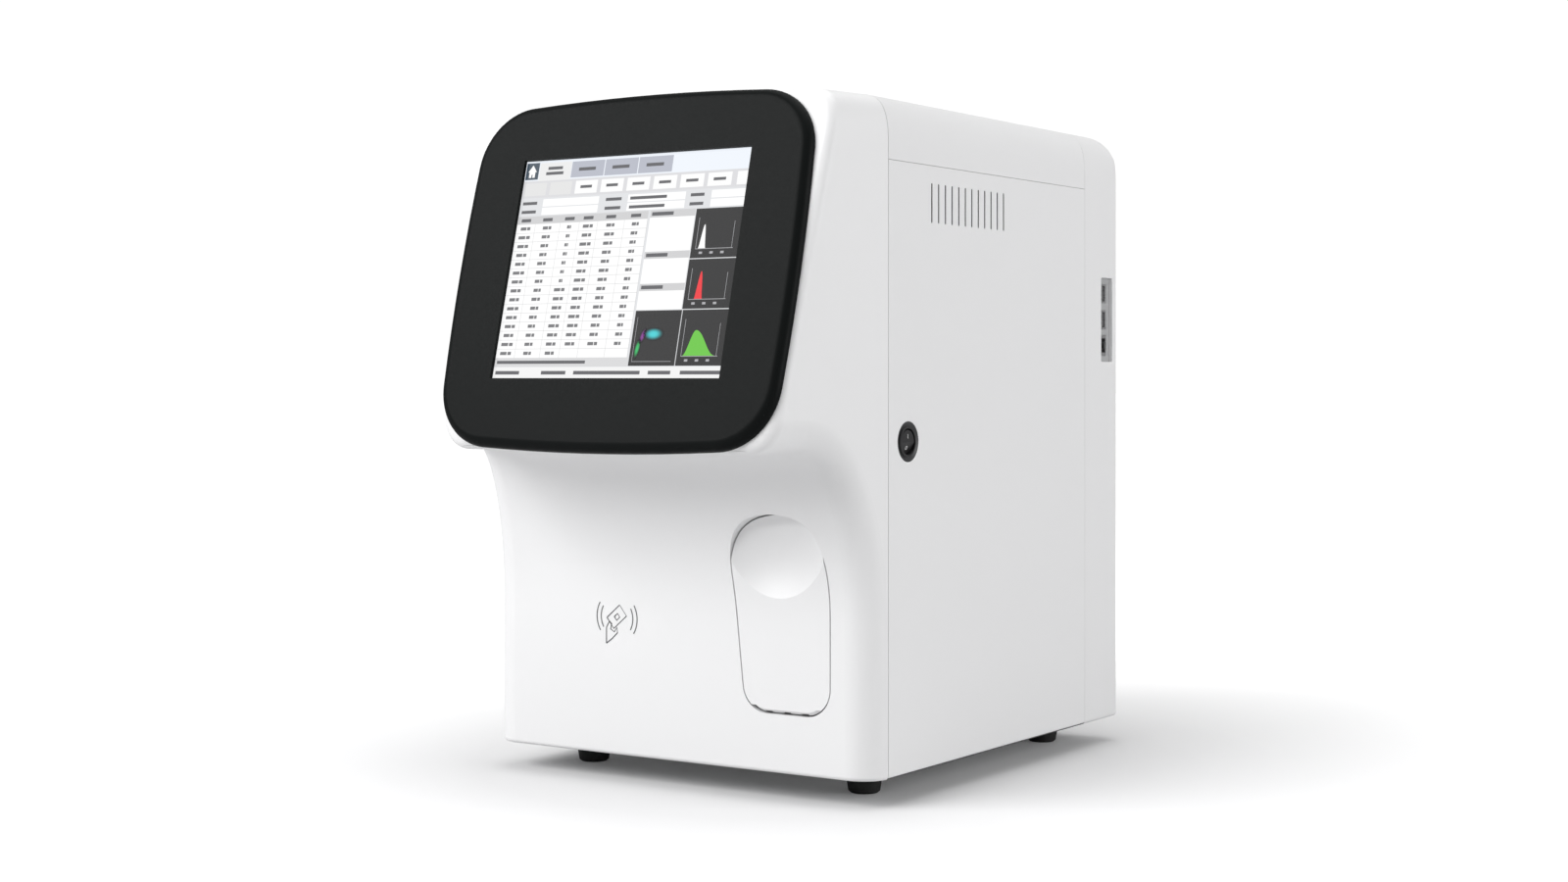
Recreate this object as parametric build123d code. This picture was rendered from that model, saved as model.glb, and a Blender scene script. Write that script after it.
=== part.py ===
"""Bench-top hematology analyzer. Millimetres, +Z up, the front faces -Y.

Everything is drawn in the case frame: X = 0 on the centre plane, Y = 0 at the seam behind the
front cover, Z = 0 at the bottom edge of the covers. The export moves it all so that the origin
is the centre of the footprint, on the surface that the feet stand on.
"""

import os
from math import cos, hypot, radians, sin, tan

from build123d import *

# Case
CASE_W = 350.0
HALF_W = CASE_W / 2
SEAM_BACK_Y = 311.5
BACK_Y = 375.5
SEAM_TOP_Z = 438.2
SIDE_TOP_Z = 485.5
CROWN_RISE = 6.0
CORNER_W = 22.0
CORNER_H = 36.0
REAR_CORNER_D = 68.0
REAR_CORNER_H = 31.0
BACK_EDGE_R = 7.0
WALL = 3.0
SIDE_IN = HALF_W - WALL
SEAM_GAP = 0.5
COVER_GAP = 0.3

# Front cover
FRONT_D = 19.5
CHEST_Z = 110.0
CHIN_Z = 231.0
CHEST_D = 51.0
CHEEK_DRAFT = 13.5
RIDGE_R = 24.0
BROW_R = 8.0
BOTTOM_R = 3.0

# Display
TILT = 13.8
SCREEN_H = 167.4
SCREEN_Y = -102.2
SCREEN_Z = 283.0
BEZEL_SIDE = 22.0
BEZEL_HALF_W = HALF_W - BEZEL_SIDE
SCREEN_BORDER = 50.0
SCREEN_W = 2 * (BEZEL_HALF_W - SCREEN_BORDER)
BEZEL_LOW = -53.4
BEZEL_HIGH = 213.9
BEZEL_R = 48.0
BEZEL_BOW_SIDE = 5.0
BEZEL_BOW_END = 6.0
BEZEL_T = 8.0
BEZEL_EDGE_R = 7.0
SCREEN_SINK = 3.0
GLASS_T = 1.8
GLASS_LAP = 3.5
MODULE_T = 12.0
MODULE_LAP = 8.0

# Sample door
DOOR_LOW_Z = 43.3
DOOR_TOP_Z = 185.3
DOOR_SIDE = 36.8
DOOR_W = 82.2
DOOR_LEAN = 10.3
DOOR_RIGHT_X = HALF_W - DOOR_SIDE
DOOR_LEFT_X = DOOR_RIGHT_X - DOOR_W
DOOR_LEFT_LOW_X = DOOR_LEFT_X + DOOR_LEAN
DOOR_LEFT_TURN_Z = 140.0
DOOR_RIGHT_TURN_Z = 118.0
DOOR_R = 20.0
DOOR_GAP = 1.0
COLLAR_T = 2.0
COLLAR_END_Y = -8.0
SCOOP_IN = 39.0
SCOOP_X = DOOR_LEFT_X + SCOOP_IN
SCOOP_Z = 160.0
SCOOP_R = 43.0
SCOOP_DEPTH = 11.0
HINGE_Y = -15.0
HINGE_Z = 46.5
HINGE_R = 2.4
PIN_R = 1.25
EAR_IN = 14.0
EAR_W = 5.0
EAR_PITCH = 15.5
EAR_GAP = 0.5
RUN_GAP = 0.05
FIT_GAP = 0.3
DOOR_OPEN = 35.0
RELIEF_GAP = 0.7
RELIEF_STEPS = 5

# Sample tube place
TUBE_IN = 41.2
TUBE_X = DOOR_RIGHT_X - TUBE_IN
TUBE_Y = 12.0
TUBE_BORE_R = 6.75
ADAPTER_R = 11.0
ADAPTER_LOW_Z = 54.0
ADAPTER_H = 34.0
LINER_SLACK = 1.8
LINER_X = (DOOR_LEFT_X, DOOR_RIGHT_X + LINER_SLACK)
LINER_BACK_Y = 62.0
LINER_Z = (40.3, 190.0)
LINER_T = 2.0

# Power switch
SWITCH_Y = 27.9
SWITCH_Z = 238.2
SWITCH_R = 11.3
DISH_R = 15.5
DISH_D = 1.4
ROCKER_R = 8.8
ROCKER_GAP = 0.8
ROCKER_TILT = 10.0

# Side vents
VENT_N = 12
VENT_PITCH = 10.0
VENT_Y = 61.2
VENT_Z = 411.0
VENT_H = 29.0
VENT_W = 1.8

# Ports
PORT_BACK = 23.0
PORT_Y = BACK_Y - PORT_BACK
PORT_Z = 332.0
PORT_W = 21.0
PORT_H = 70.0
USB_Z = (354.0, 332.2)
USB_W = 5.7
USB_H = 13.1
NET_Z = 310.8
NET_H = 16.4
PORT_PLATE_T = 2.0

# Feet
FOOT_H = 20.0
FOOT_TOP_R = 15.0
FOOT_LOW_R = 11.5
FOOT_SIDE = 49.0
FOOT_X = HALF_W - FOOT_SIDE
FOOT_FRONT_Y = 47.0
FOOT_BACK_Y = 330.0
SHEET = 1.5

# Frame and fixings
FRAME_SIDE = 7.5
FRAME_IN = SIDE_IN - FRAME_SIDE
FRAME_FRONT_Y = 6.0
FRAME_BACK = 8.0
FRAME_BACK_Y = SEAM_BACK_Y - FRAME_BACK
FRAME_TOP_Z = 430.0
TIE_H = 14.0
WINDOW_Y = (60.0, 272.0)
WINDOW_Z = ((40.0, 190.0), (214.0, 280.0))
VENT_WINDOW_Z = (388.0, 427.0)
WINDOW_SIDE = 34.5
WINDOW_X = FRAME_IN - WINDOW_SIDE
TAB_IN = 1.0
TAB_W = 24.0
TAB_X = (HALF_W - TAB_IN - TAB_W, HALF_W - TAB_IN)
TOP_TAB_IN = 9.0
TOP_TAB_W = 18.0
TOP_TAB_X = (HALF_W - TOP_TAB_IN - TOP_TAB_W, HALF_W - TOP_TAB_IN)
TAB_Z = (70.0, 300.0)
TAB_H = 18.0
TAB_D = 14.0
BOSS_Y = (24.0, 292.0)
BOSS_Z = (50.0, 360.0)
BOSS_R = 5.0
PAN_RIM_H = 14.0
DECK_Z = 206.5
DECK_LIP = 10.0
DECK_SIDE = 115.0
DECK_RIGHT_X = HALF_W - DECK_SIDE
DECK_FRONT_Y = 78.0
FOOT_SCREW_R = 2.5
FOOT_HEAD_R = 4.8
FOOT_SEAT = 9.0
SCREW_SIDE = 15.0
SCREW_X = HALF_W - SCREW_SIDE
SCREW_Z = (28.0, 225.0, 425.0)
SCREW_R = 3.4
NOSE_CUT = 3.1

# Switch details
SWITCH_BARREL_R = 10.4
SWITCH_WELL_D = 9.5
PIVOT_D = 3.6
PIVOT_R = 1.0
SOCKET_W = 10.0
SOCKET_H = 16.2

# Back panel
INLET_SIDE = 63.0
INLET_X = HALF_W - INLET_SIDE
INLET_Z = 62.0
INLET_W = 28.0
INLET_H = 36.0
INLET_MOUTH_UP = 6.5
MOUTH_W = 24.2
MOUTH_H = 16.6
MOUTH_D = 16.0
INLET_DRAWER_DOWN = 11.0
DRAWER_W = 20.0
DRAWER_H = 8.4
DRAWER_D = 22.0
DRAWER_GAP = 0.3
DRAWER_OUT = 18.0
STUD_SIDE = 29.0
STUD_X = HALF_W - STUD_SIDE
STUD_Z = 62.0
STUD_R = 2.0
STUD_L = 12.0
FAN_SIDE = 87.0
FAN_X = FAN_SIDE - HALF_W
FAN_Z = 330.0
FAN_SIZE = 80.0
FAN_T = 25.0
FAN_BORE_R = 38.0
FAN_HUB_R = 16.0
FAN_POST_R = 3.0
FAN_BLADES = 7
GUARD_WIRE_R = 0.9
GUARD_RINGS = (12.0, 20.0, 28.0, 36.0, 42.0)
FITTING_SIDE = 105.0
FITTING_X = FITTING_SIDE - HALF_W
FITTING_Z = 84.0
FITTING_N = 4
FITTING_PITCH = 26.0
FITTING_BODY_R = 8.0
NIPPLE_R = 3.0
NIPPLE_BORE_R = 1.5
NIPPLE_END = 14.0
REAR_SLOT_N = 14
REAR_SLOT_PITCH = 8.0
REAR_SLOT_X = 10.0
REAR_SLOT_Z = 340.0
REAR_SLOT_H = 44.0
REAR_SLOT_W = 3.2

# Sampling gantry
GANTRY_SIDE = 14.5
GANTRY_X = FRAME_IN - GANTRY_SIDE
GANTRY_Y = (-12.0, 216.0)
MOTOR_FACE_IN = 13.0
MOTOR_FACE_X = GANTRY_X - MOTOR_FACE_IN
MOTOR_BOLT = 13.0
PULLEY_BACK_Y = 195.0
PULLEY_FRONT_Y = -1.0
BELT_Z = 392.0
PULLEY_R = 6.37
PULLEY_IN = 2.0
PULLEY_W = 8.0
PULLEY_X = (GANTRY_X - PULLEY_IN - PULLEY_W, GANTRY_X - PULLEY_IN)
SHAFT_R = 2.5
PLATE_IN = 11.0
PLATE_X = GANTRY_X - PLATE_IN
SHELF_Z = 208.0
LIFT_OFF = 21.0
LIFT_X = TUBE_X + LIFT_OFF
LIFT_R = 2.5
HOLDER_Z = 318.0
PROBE_R = 0.9
PROBE_TIP_Z = 200.0
PROBE_TRAVEL = 100.0
BATH_Y = (110.0, 150.0)
BATH_Z = (86.0, 140.0)
BATH_WALL_OFF = 21.0
BATH_WALL_X = TUBE_X + BATH_WALL_OFF

# Fluid parts
SYRINGE_SIDE = 50.0
SYRINGE_PITCH = 50.0
SYRINGE_X = (SYRINGE_SIDE - HALF_W, SYRINGE_SIDE + SYRINGE_PITCH - HALF_W)
SYRINGE_R = (9.0, 6.0)
SYRINGE_Y = 24.0
SYRINGE_WALL_Y = 40.0
PLUNGER_TRAVEL = 30.0
MANIFOLD_Y = 50.0
CHAMBER_AT = (-20.0, 215.0)
CHAMBER_R = 28.0
PUMP_AT = (0.0, 40.0)
PUMP_Y = 130.0
PUMP_R = 26.0
BOARD_SPACER = 4.0
BOARD_X = BOARD_SPACER - FRAME_IN
PUMP_SIDE = 60.0
AIR_X = PUMP_SIDE - HALF_W
SUPPLY_SIDE = 4.5
SUPPLY_W = 100.0
BENCH_SIDE = 14.5
REACH = 2 * CASE_W

TILT_SIN = sin(radians(TILT))
TILT_COS = cos(radians(TILT))


def display_plane(sink=0.0):
    """The screen's plane, or one that many mm in front of it, X along the screen and Y up it."""
    return Plane(
        origin=(0, SCREEN_Y - sink * TILT_COS, SCREEN_Z + sink * TILT_SIN),
        x_dir=(1, 0, 0),
        z_dir=(0, -TILT_COS, TILT_SIN),
    )


def between(x, y, z):
    """A box from three (low, high) pairs."""
    size = [pair[1] - pair[0] for pair in (x, y, z)]
    middle = [(pair[1] + pair[0]) / 2 for pair in (x, y, z)]
    return Pos(*middle) * Box(*size)


def rod(start, end, radius):
    """A round bar from one point to another."""
    start, end = Vector(*start), Vector(*end)
    along = end - start
    return extrude(Plane(origin=start, z_dir=along) * Circle(radius), along.length)


# Case form

def brow_y(z, sink):
    """Y of the cover's inclined face at a height, that many mm behind the cover's surface."""
    lift = (z - SCREEN_Z) * tan(radians(TILT))
    return SCREEN_Y + (BEZEL_T - SCREEN_SINK + sink) / TILT_COS + lift


def side_profile(inset):
    """The case's side view: vertical front, concave chest, flat chin, leaning brow, round back."""
    front = -FRONT_D + inset
    chin = CHIN_Z + inset
    low = -20.0 if inset else 0.0
    back = BACK_Y - inset
    top = SIDE_TOP_Z + CROWN_RISE + 1 - inset
    chest = EllipticalCenterArc(
        (front - CHEST_D, CHEST_Z), CHEST_D, chin - CHEST_Z, start_angle=0, arc_size=90
    )
    nape = EllipticalCenterArc(
        (back - REAR_CORNER_D, top - REAR_CORNER_H),
        REAR_CORNER_D,
        REAR_CORNER_H,
        start_angle=0,
        arc_size=90,
    )
    chin_tip = (brow_y(chin, inset), chin)
    brow_top = (brow_y(top, inset), top)
    outline = [
        Line((front, low), (front, CHEST_Z)),
        chest,
        Line(chest @ 1, chin_tip),
        Line(chin_tip, brow_top),
        Line(brow_top, nape @ 1),
        nape,
        Line(nape @ 0, (back, low)),
        Line((back, low), (front, low)),
    ]
    return make_face(outline)


def front_outline(inset, half, low):
    """The case's front view: straight sides, round shoulders and a slightly crowned top."""
    half = half - inset
    top = SIDE_TOP_Z - inset
    shoulder = (half - CORNER_W, top)
    turn = (half, top - CORNER_H)
    slope = 4 * CROWN_RISE / (2 * (half - CORNER_W))
    right = Spline([turn, shoulder], tangents=[(0, 1), (-1, slope / 2)])
    left = Spline([(-shoulder[0], top), (-turn[0], turn[1])], tangents=[(-1, -slope / 2), (0, -1)])
    crown = ThreePointArc(shoulder, (0, top + CROWN_RISE), (-shoulder[0], top))
    sides = [
        Line((-turn[0], turn[1]), (-half, low)),
        Line((-half, low), (half, low)),
        Line((half, low), turn),
    ]
    return make_face([right, crown, left] + sides)


def envelope(inset=0.0):
    """The whole case as one solid, or its inside when an inset is given."""
    low = -20.0 if inset else 0.0
    reach = 140.0
    draw = reach * tan(radians(CHEEK_DRAFT))
    seam = Plane(origin=(0, 0, 0), x_dir=(1, 0, 0), z_dir=(0, -1, 0))
    tip = Plane(origin=(0, -reach, 0), x_dir=(1, 0, 0), z_dir=(0, -1, 0))
    nose = loft(
        [seam * front_outline(inset, HALF_W, low), tip * front_outline(inset, HALF_W - draw, low)],
        ruled=True,
    )
    trunk = extrude(seam * front_outline(inset, HALF_W, low), -BACK_Y)
    side = Plane.YZ * side_profile(inset)
    prism = extrude(side, HALF_W + 5, both=True)
    return (nose + trunk) & prism


def on_brow(edge, inset=0.0):
    """True for an edge that lies in the cover's inclined face."""
    ends = [edge @ 0, edge @ 0.5, edge @ 1]
    return all(abs(point.Y - brow_y(point.Z, inset)) < 0.05 for point in ends)


def on_ridge(edge, inset=0.0):
    """True for an edge between a cheek and the front, the chest or the underside of the chin."""
    box = edge.bounding_box()
    one_side = box.min.X * box.max.X > 0
    return one_side and box.max.Y < inset - FRONT_D + 1 and box.max.Z < CHIN_Z + inset + 1


def on_back(edge):
    """True for an upright edge at the back of the case, or its run over the shoulder."""
    box = edge.bounding_box()
    one_side = box.min.X * box.max.X > 0
    upright = box.max.Z - box.min.Z > 20
    return one_side and upright and box.max.Y > BACK_Y - 0.1 and box.min.Y > SEAM_BACK_Y - 40


def case_form(inset=0.0):
    """The case with its rounded edges, or its inside when an inset is given."""
    form = envelope(inset)
    ridges = [e for e in form.edges() if on_ridge(e, inset) and not on_brow(e, inset)]
    form = fillet(ridges, RIDGE_R - inset)
    if inset:
        return form
    form = fillet([e for e in form.edges() if on_brow(e)], BROW_R)
    form = fillet([e for e in form.edges() if on_back(e)], BACK_EDGE_R)
    low = [e for e in form.edges() if e.bounding_box().max.Z < 0.1]
    return fillet(low, BOTTOM_R)


OUTER = case_form()
INNER = case_form(WALL)
SHELL = OUTER - INNER
FITTED = case_form(WALL + COVER_GAP)
MID_WALL = case_form(WALL / 2)


# Sample door form

def door_outline(grow=0.0):
    """The door's outline: leaning left edge, upright right edge, one big round top."""
    lean = (DOOR_LEFT_LOW_X - DOOR_LEFT_X) / (DOOR_LEFT_TURN_Z - DOOR_LOW_Z)
    side = grow * hypot(1, lean)
    low_z = DOOR_LOW_Z - grow
    left_turn = (DOOR_LEFT_X - side, DOOR_LEFT_TURN_Z)
    low_left = (DOOR_LEFT_LOW_X + lean * grow - side, low_z)
    low_right = (DOOR_RIGHT_X + grow, low_z)
    right_turn = (DOOR_RIGHT_X + grow, DOOR_RIGHT_TURN_Z)
    crest = ((DOOR_LEFT_X + DOOR_RIGHT_X) / 2, DOOR_TOP_Z + grow)
    face = make_face(
        [
            Line(left_turn, low_left),
            Line(low_left, low_right),
            Line(low_right, right_turn),
            Spline([right_turn, crest, left_turn], tangents=[(0, 1), (lean, -1)]),
        ]
    )
    corners = [corner for corner in face.vertices() if corner.Y < low_z + 0.1]
    return fillet(corners, DOOR_R + grow)


def door_prism(grow, back_y):
    """The door's outline run from in front of the chest to a plane inside."""
    front_y = -FRONT_D - CHEST_D
    plane = Plane(origin=(0, back_y, 0), x_dir=(1, 0, 0), z_dir=(0, -1, 0))
    return extrude(plane * door_outline(grow), back_y - front_y)


def chest_y(z):
    """Y of the front's surface at a height between the lower front and the chin."""
    rise = max(0.0, (z - CHEST_Z) / (CHIN_Z - CHEST_Z))
    return -FRONT_D - CHEST_D * (1 - (1 - rise**2) ** 0.5)


def scoop_ball(skin=0.0):
    """The ball that presses the finger scoop into the door's upper half."""
    radius = (SCOOP_R**2 + SCOOP_DEPTH**2) / (2 * SCOOP_DEPTH)
    y = chest_y(SCOOP_Z) + SCOOP_DEPTH - radius
    return Pos(SCOOP_X, y, SCOOP_Z) * Sphere(radius + skin)


# Covers

def screen_box(lap, front, back):
    """A block square to the screen, wider than it by a lap, between two distances behind it."""
    depth = back - front
    slab = Pos(0, SCREEN_H / 2, -front - depth / 2) * Box(
        SCREEN_W + 2 * lap, SCREEN_H + 2 * lap, depth
    )
    return display_plane() * slab


def cover_tab(x, y, z):
    """A fixing block on both sides of a cover, grown out of its wall."""
    right = between(x, y, z)
    left = between((-x[1], -x[0]), y, z)
    return right + left


def front_cover():
    """White moulded front with the display's window and the door's collared opening."""
    seam_y = -SEAM_GAP / 2
    cover = SHELL & between((-REACH, REACH), (-REACH, seam_y), (-1, REACH))
    collar = door_prism(DOOR_GAP + COLLAR_T, COLLAR_END_Y) & INNER
    collar -= door_prism(DOOR_GAP, COLLAR_END_Y)
    cover = cover - door_prism(DOOR_GAP, COLLAR_END_Y + 1) + collar
    cover -= screen_box(MODULE_LAP + COVER_GAP, -20, 60)
    for z in TAB_Z:
        cover += cover_tab(TAB_X, (-TAB_D, seam_y), (z, z + TAB_H)) & MID_WALL
        foot_x = (TAB_X[0], FRAME_IN + SHEET)
        cover += cover_tab(foot_x, (seam_y, FRAME_FRONT_Y), (z, z + TAB_H))
    return cover


def panel_region(z, x=(-REACH, REACH)):
    """The space between the front seam and the rear seam, over a range of heights."""
    return between(x, (SEAM_GAP / 2, SEAM_BACK_Y - COVER_GAP / 2), z)


def vents():
    """The row of upright air slots, run through both side panels."""
    slots = [
        Pos(0, VENT_Y + i * VENT_PITCH, VENT_Z)
        * extrude(Plane.YZ * SlotOverall(VENT_H, VENT_W, rotation=90), HALF_W + 5, both=True)
        for i in range(VENT_N)
    ]
    return slots


def side_panel(side):
    """A flat side panel with its vents and four bosses that stand on the frame's wall."""
    x = (0, REACH) if side > 0 else (-REACH, 0)
    panel = SHELL & panel_region((-1, SEAM_TOP_Z - COVER_GAP / 2), x)
    panel -= vents()
    frame_x = FRAME_IN + SHEET
    for y in BOSS_Y:
        for z in BOSS_Z:
            panel += rod((side * frame_x, y, z), (side * SIDE_IN, y, z), BOSS_R)
    return panel


def side_panel_right():
    """The right panel also has the power switch's hole in a shallow dish."""
    panel = side_panel(1)
    hole = rod((SIDE_IN - 5, SWITCH_Y, SWITCH_Z), (HALF_W + 5, SWITCH_Y, SWITCH_Z), SWITCH_BARREL_R + 0.2)
    dish = Cone(DISH_R - 3, DISH_R, DISH_D)
    dish = Pos(HALF_W - DISH_D / 2, SWITCH_Y, SWITCH_Z) * Rot(0, 90, 0) * dish
    return panel - hole - dish


def top_cover():
    """The crowned roof with its rounded shoulders."""
    cover = SHELL & panel_region((SEAM_TOP_Z + COVER_GAP / 2, REACH))
    for y in BOSS_Y:
        tab = cover_tab(TOP_TAB_X, (y - TAB_H / 2, y + TAB_H / 2), (FRAME_TOP_Z, SIDE_TOP_Z))
        cover += tab & MID_WALL
    return cover


def rear_cover():
    """The back, wrapped round both sides, with openings for all that shows there."""
    seam_y = SEAM_BACK_Y + COVER_GAP / 2
    cover = SHELL & between((-REACH, REACH), (seam_y, REACH), (-1, REACH))
    for z in TAB_Z:
        cover += cover_tab(TAB_X, (seam_y, seam_y + TAB_D), (z, z + TAB_H)) & MID_WALL
        foot_x = (TAB_X[0], FRAME_IN + SHEET)
        cover += cover_tab(foot_x, (FRAME_BACK_Y, seam_y + 1), (z, z + TAB_H))
    window = Pos(SIDE_IN, PORT_Y, PORT_Z) * extrude(
        Plane.YZ * RectangleRounded(PORT_W, PORT_H, 1.5), WALL + 1
    )
    inlet = between(
        (INLET_X - INLET_W / 2, INLET_X + INLET_W / 2),
        (BACK_Y - WALL - 1, BACK_Y + 1),
        (INLET_Z - INLET_H / 2, INLET_Z + INLET_H / 2),
    )
    tunnel = rod((FAN_X, BACK_Y - WALL - 1, FAN_Z), (FAN_X, BACK_Y + 1, FAN_Z), FAN_BORE_R)
    stud = rod((STUD_X, BACK_Y - WALL - 1, STUD_Z), (STUD_X, BACK_Y + 1, STUD_Z), STUD_R + 0.3)
    half = FITTING_PITCH * (FITTING_N - 1) / 2 + FITTING_BODY_R + 2
    fittings = between(
        (FITTING_X - half, FITTING_X + half),
        (BACK_Y - WALL - 1, BACK_Y + 1),
        (FITTING_Z - FITTING_BODY_R - 2, FITTING_Z + FITTING_BODY_R + 2),
    )
    cover = cover - window - inlet - tunnel - stud - fittings
    return cover - rear_slots()


def rear_slots():
    """Two rows of warm-air slots high on the back."""
    slots = []
    for i in range(REAR_SLOT_N):
        x = REAR_SLOT_X + i * REAR_SLOT_PITCH
        slot = Plane.XZ * SlotOverall(REAR_SLOT_H, REAR_SLOT_W, rotation=90)
        slots.append(Pos(x, BACK_Y, REAR_SLOT_Z) * extrude(slot, WALL + 2, both=True))
    return slots


# Sheet-metal structure

def base_pan():
    """The folded floor that closes the case and carries the feet."""
    pan = FITTED & between((-REACH, REACH), (-REACH, REACH), (0, PAN_RIM_H))
    plan = pan.faces().sort_by(Axis.Z)[-1]
    room = extrude(Pos(0, 0, SHEET - PAN_RIM_H) * offset(plan, -SHEET), PAN_RIM_H, dir=(0, 0, 1))
    pan -= room
    for x, y in foot_places():
        pan -= rod((x, y, -1), (x, y, SHEET + 1), FOOT_SCREW_R + 0.1)
    return pan


def chassis_frame():
    """Welded sheet frame: two windowed side walls, a windowed back wall and a front tie."""
    out = FRAME_IN + SHEET
    y = (FRAME_FRONT_Y, FRAME_BACK_Y)
    z = (SHEET, FRAME_TOP_Z)
    shell = between((-out, out), y, z)
    room = between((-FRAME_IN, FRAME_IN), (y[0] - 1, y[1] - SHEET), (0, z[1] + 1))
    frame = shell - room
    tie = between((-FRAME_IN, FRAME_IN), (y[0], y[0] + SHEET), (z[1] - TIE_H, z[1]))
    frame += tie
    for low, high in WINDOW_Z:
        frame -= between((-REACH, REACH), WINDOW_Y, (low, high))
        frame -= between((-WINDOW_X, WINDOW_X), (y[1] - 5, y[1] + 5), (low, high))
    frame -= between((-REACH, REACH), (VENT_Y - 6, VENT_Y + VENT_N * VENT_PITCH), VENT_WINDOW_Z)
    hole = rod((0, SWITCH_Y, SWITCH_Z), (REACH, SWITCH_Y, SWITCH_Z), SWITCH_R + 2)
    return frame - hole


def mid_deck():
    """The shelf that carries the optics, with turned-down edges."""
    x = (-FRAME_IN, DECK_RIGHT_X)
    y = (DECK_FRONT_Y, FRAME_BACK_Y - SHEET)
    deck = between(x, y, (DECK_Z - DECK_LIP, DECK_Z))
    hollow = between(
        (x[0] + SHEET, x[1] - SHEET), (y[0] + SHEET, y[1] - SHEET), (0, DECK_Z - SHEET)
    )
    return deck - hollow


def foot_places():
    """Where the four feet stand."""
    return [(x, y) for x in (-FOOT_X, FOOT_X) for y in (FOOT_FRONT_Y, FOOT_BACK_Y)]


def rubber_feet():
    """Four tapered rubber feet with a sunk screw each."""
    foot = Pos(0, 0, -FOOT_H / 2) * Cone(FOOT_LOW_R, FOOT_TOP_R, FOOT_H)
    foot = chamfer(foot.edges().sort_by(Axis.Z)[0], 1.5)
    foot -= rod((0, 0, -FOOT_H - 1), (0, 0, -FOOT_SEAT), FOOT_HEAD_R + 0.4)
    foot -= rod((0, 0, -FOOT_H), (0, 0, 1), FOOT_SCREW_R + 0.1)
    return [Pos(x, y, 0) * foot for x, y in foot_places()]


def foot_screws():
    """Pan-head screws up through the feet into the floor."""
    head = rod((0, 0, -FOOT_SEAT - 3), (0, 0, -FOOT_SEAT), FOOT_HEAD_R)
    head = chamfer(head.edges().sort_by(Axis.Z)[0], 1.0)
    screw = head + rod((0, 0, -FOOT_SEAT), (0, 0, SHEET + 5), FOOT_SCREW_R)
    return [Pos(x, y, 0) * screw for x, y in foot_places()]


def cover_screws():
    """Pan-head screws that hold the back on."""
    screws = []
    for x in (-SCREW_X, SCREW_X):
        for z in SCREW_Z:
            head = rod((x, BACK_Y, z), (x, BACK_Y + 2, z), SCREW_R)
            screws.append(chamfer(head.edges().sort_by(Axis.Y)[-1], 0.8))
    return screws


# Display

def display_bezel():
    """The black squircle frame with a rounded rim and a sunk window."""
    x = BEZEL_HALF_W - BEZEL_BOW_SIDE
    low = BEZEL_LOW + BEZEL_BOW_END
    high = BEZEL_HIGH - BEZEL_BOW_END
    mid = (low + high) / 2
    face = make_face(
        [
            ThreePointArc((-x, low), (0, BEZEL_LOW), (x, low)),
            ThreePointArc((x, low), (BEZEL_HALF_W, mid), (x, high)),
            ThreePointArc((x, high), (0, BEZEL_HIGH), (-x, high)),
            ThreePointArc((-x, high), (-BEZEL_HALF_W, mid), (-x, low)),
        ]
    )
    face = fillet(face.vertices(), BEZEL_R)
    back = display_plane(SCREEN_SINK - BEZEL_T)
    frame = extrude(back * face, BEZEL_T)
    tip = display_plane(SCREEN_SINK)
    rim = [e for e in frame.edges() if abs(tip.to_local_coords(e @ 0.5).Z) < 0.01]
    frame = fillet(rim, BEZEL_EDGE_R)
    frame -= screen_box(0, -SCREEN_SINK - 1, 1)
    frame -= screen_box(GLASS_LAP + 0.2, 0, BEZEL_T)
    return frame - screen_box(MODULE_LAP + COVER_GAP, GLASS_T, BEZEL_T + 1)


def touch_glass():
    """The touch panel's glass, behind the bezel's lip."""
    return screen_box(GLASS_LAP, 0, GLASS_T)


def display_module():
    """The flat display with its metal back and a raised driver cover."""
    module = screen_box(MODULE_LAP, GLASS_T, GLASS_T + MODULE_T)
    return module + screen_box(-40, GLASS_T + MODULE_T, GLASS_T + MODULE_T + 4)


# Sample door

def hinge_ears():
    """X ranges of the ears that hold the pin, and of the door's barrels between them."""
    first = TUBE_X - EAR_IN
    ears = [(first + i * EAR_PITCH, first + i * EAR_PITCH + EAR_W) for i in range(3)]
    barrels = [(left[1] + EAR_GAP, right[0] - EAR_GAP) for left, right in zip(ears, ears[1:])]
    return ears, barrels


def door_relief():
    """The room that the opening's lower edge and corners take from the door as it tilts open."""
    outside = door_prism(DOOR_GAP + COLLAR_T + DOOR_R / 4, COLLAR_END_Y)
    opening = door_prism(DOOR_GAP - RELIEF_GAP, COLLAR_END_Y + 1)
    edge = (outside - opening) & between(
        (0, HALF_W), (-FRONT_D, COLLAR_END_Y), (0, DOOR_LOW_Z + DOOR_R + DOOR_GAP)
    )
    cuts = []
    for step in range(1, RELIEF_STEPS + 1):
        turn = Rot(-DOOR_OPEN * step / RELIEF_STEPS, 0, 0)
        cuts.append(Pos(0, HINGE_Y, HINGE_Z) * turn * Pos(0, -HINGE_Y, -HINGE_Z) * edge)
    return cuts


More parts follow.
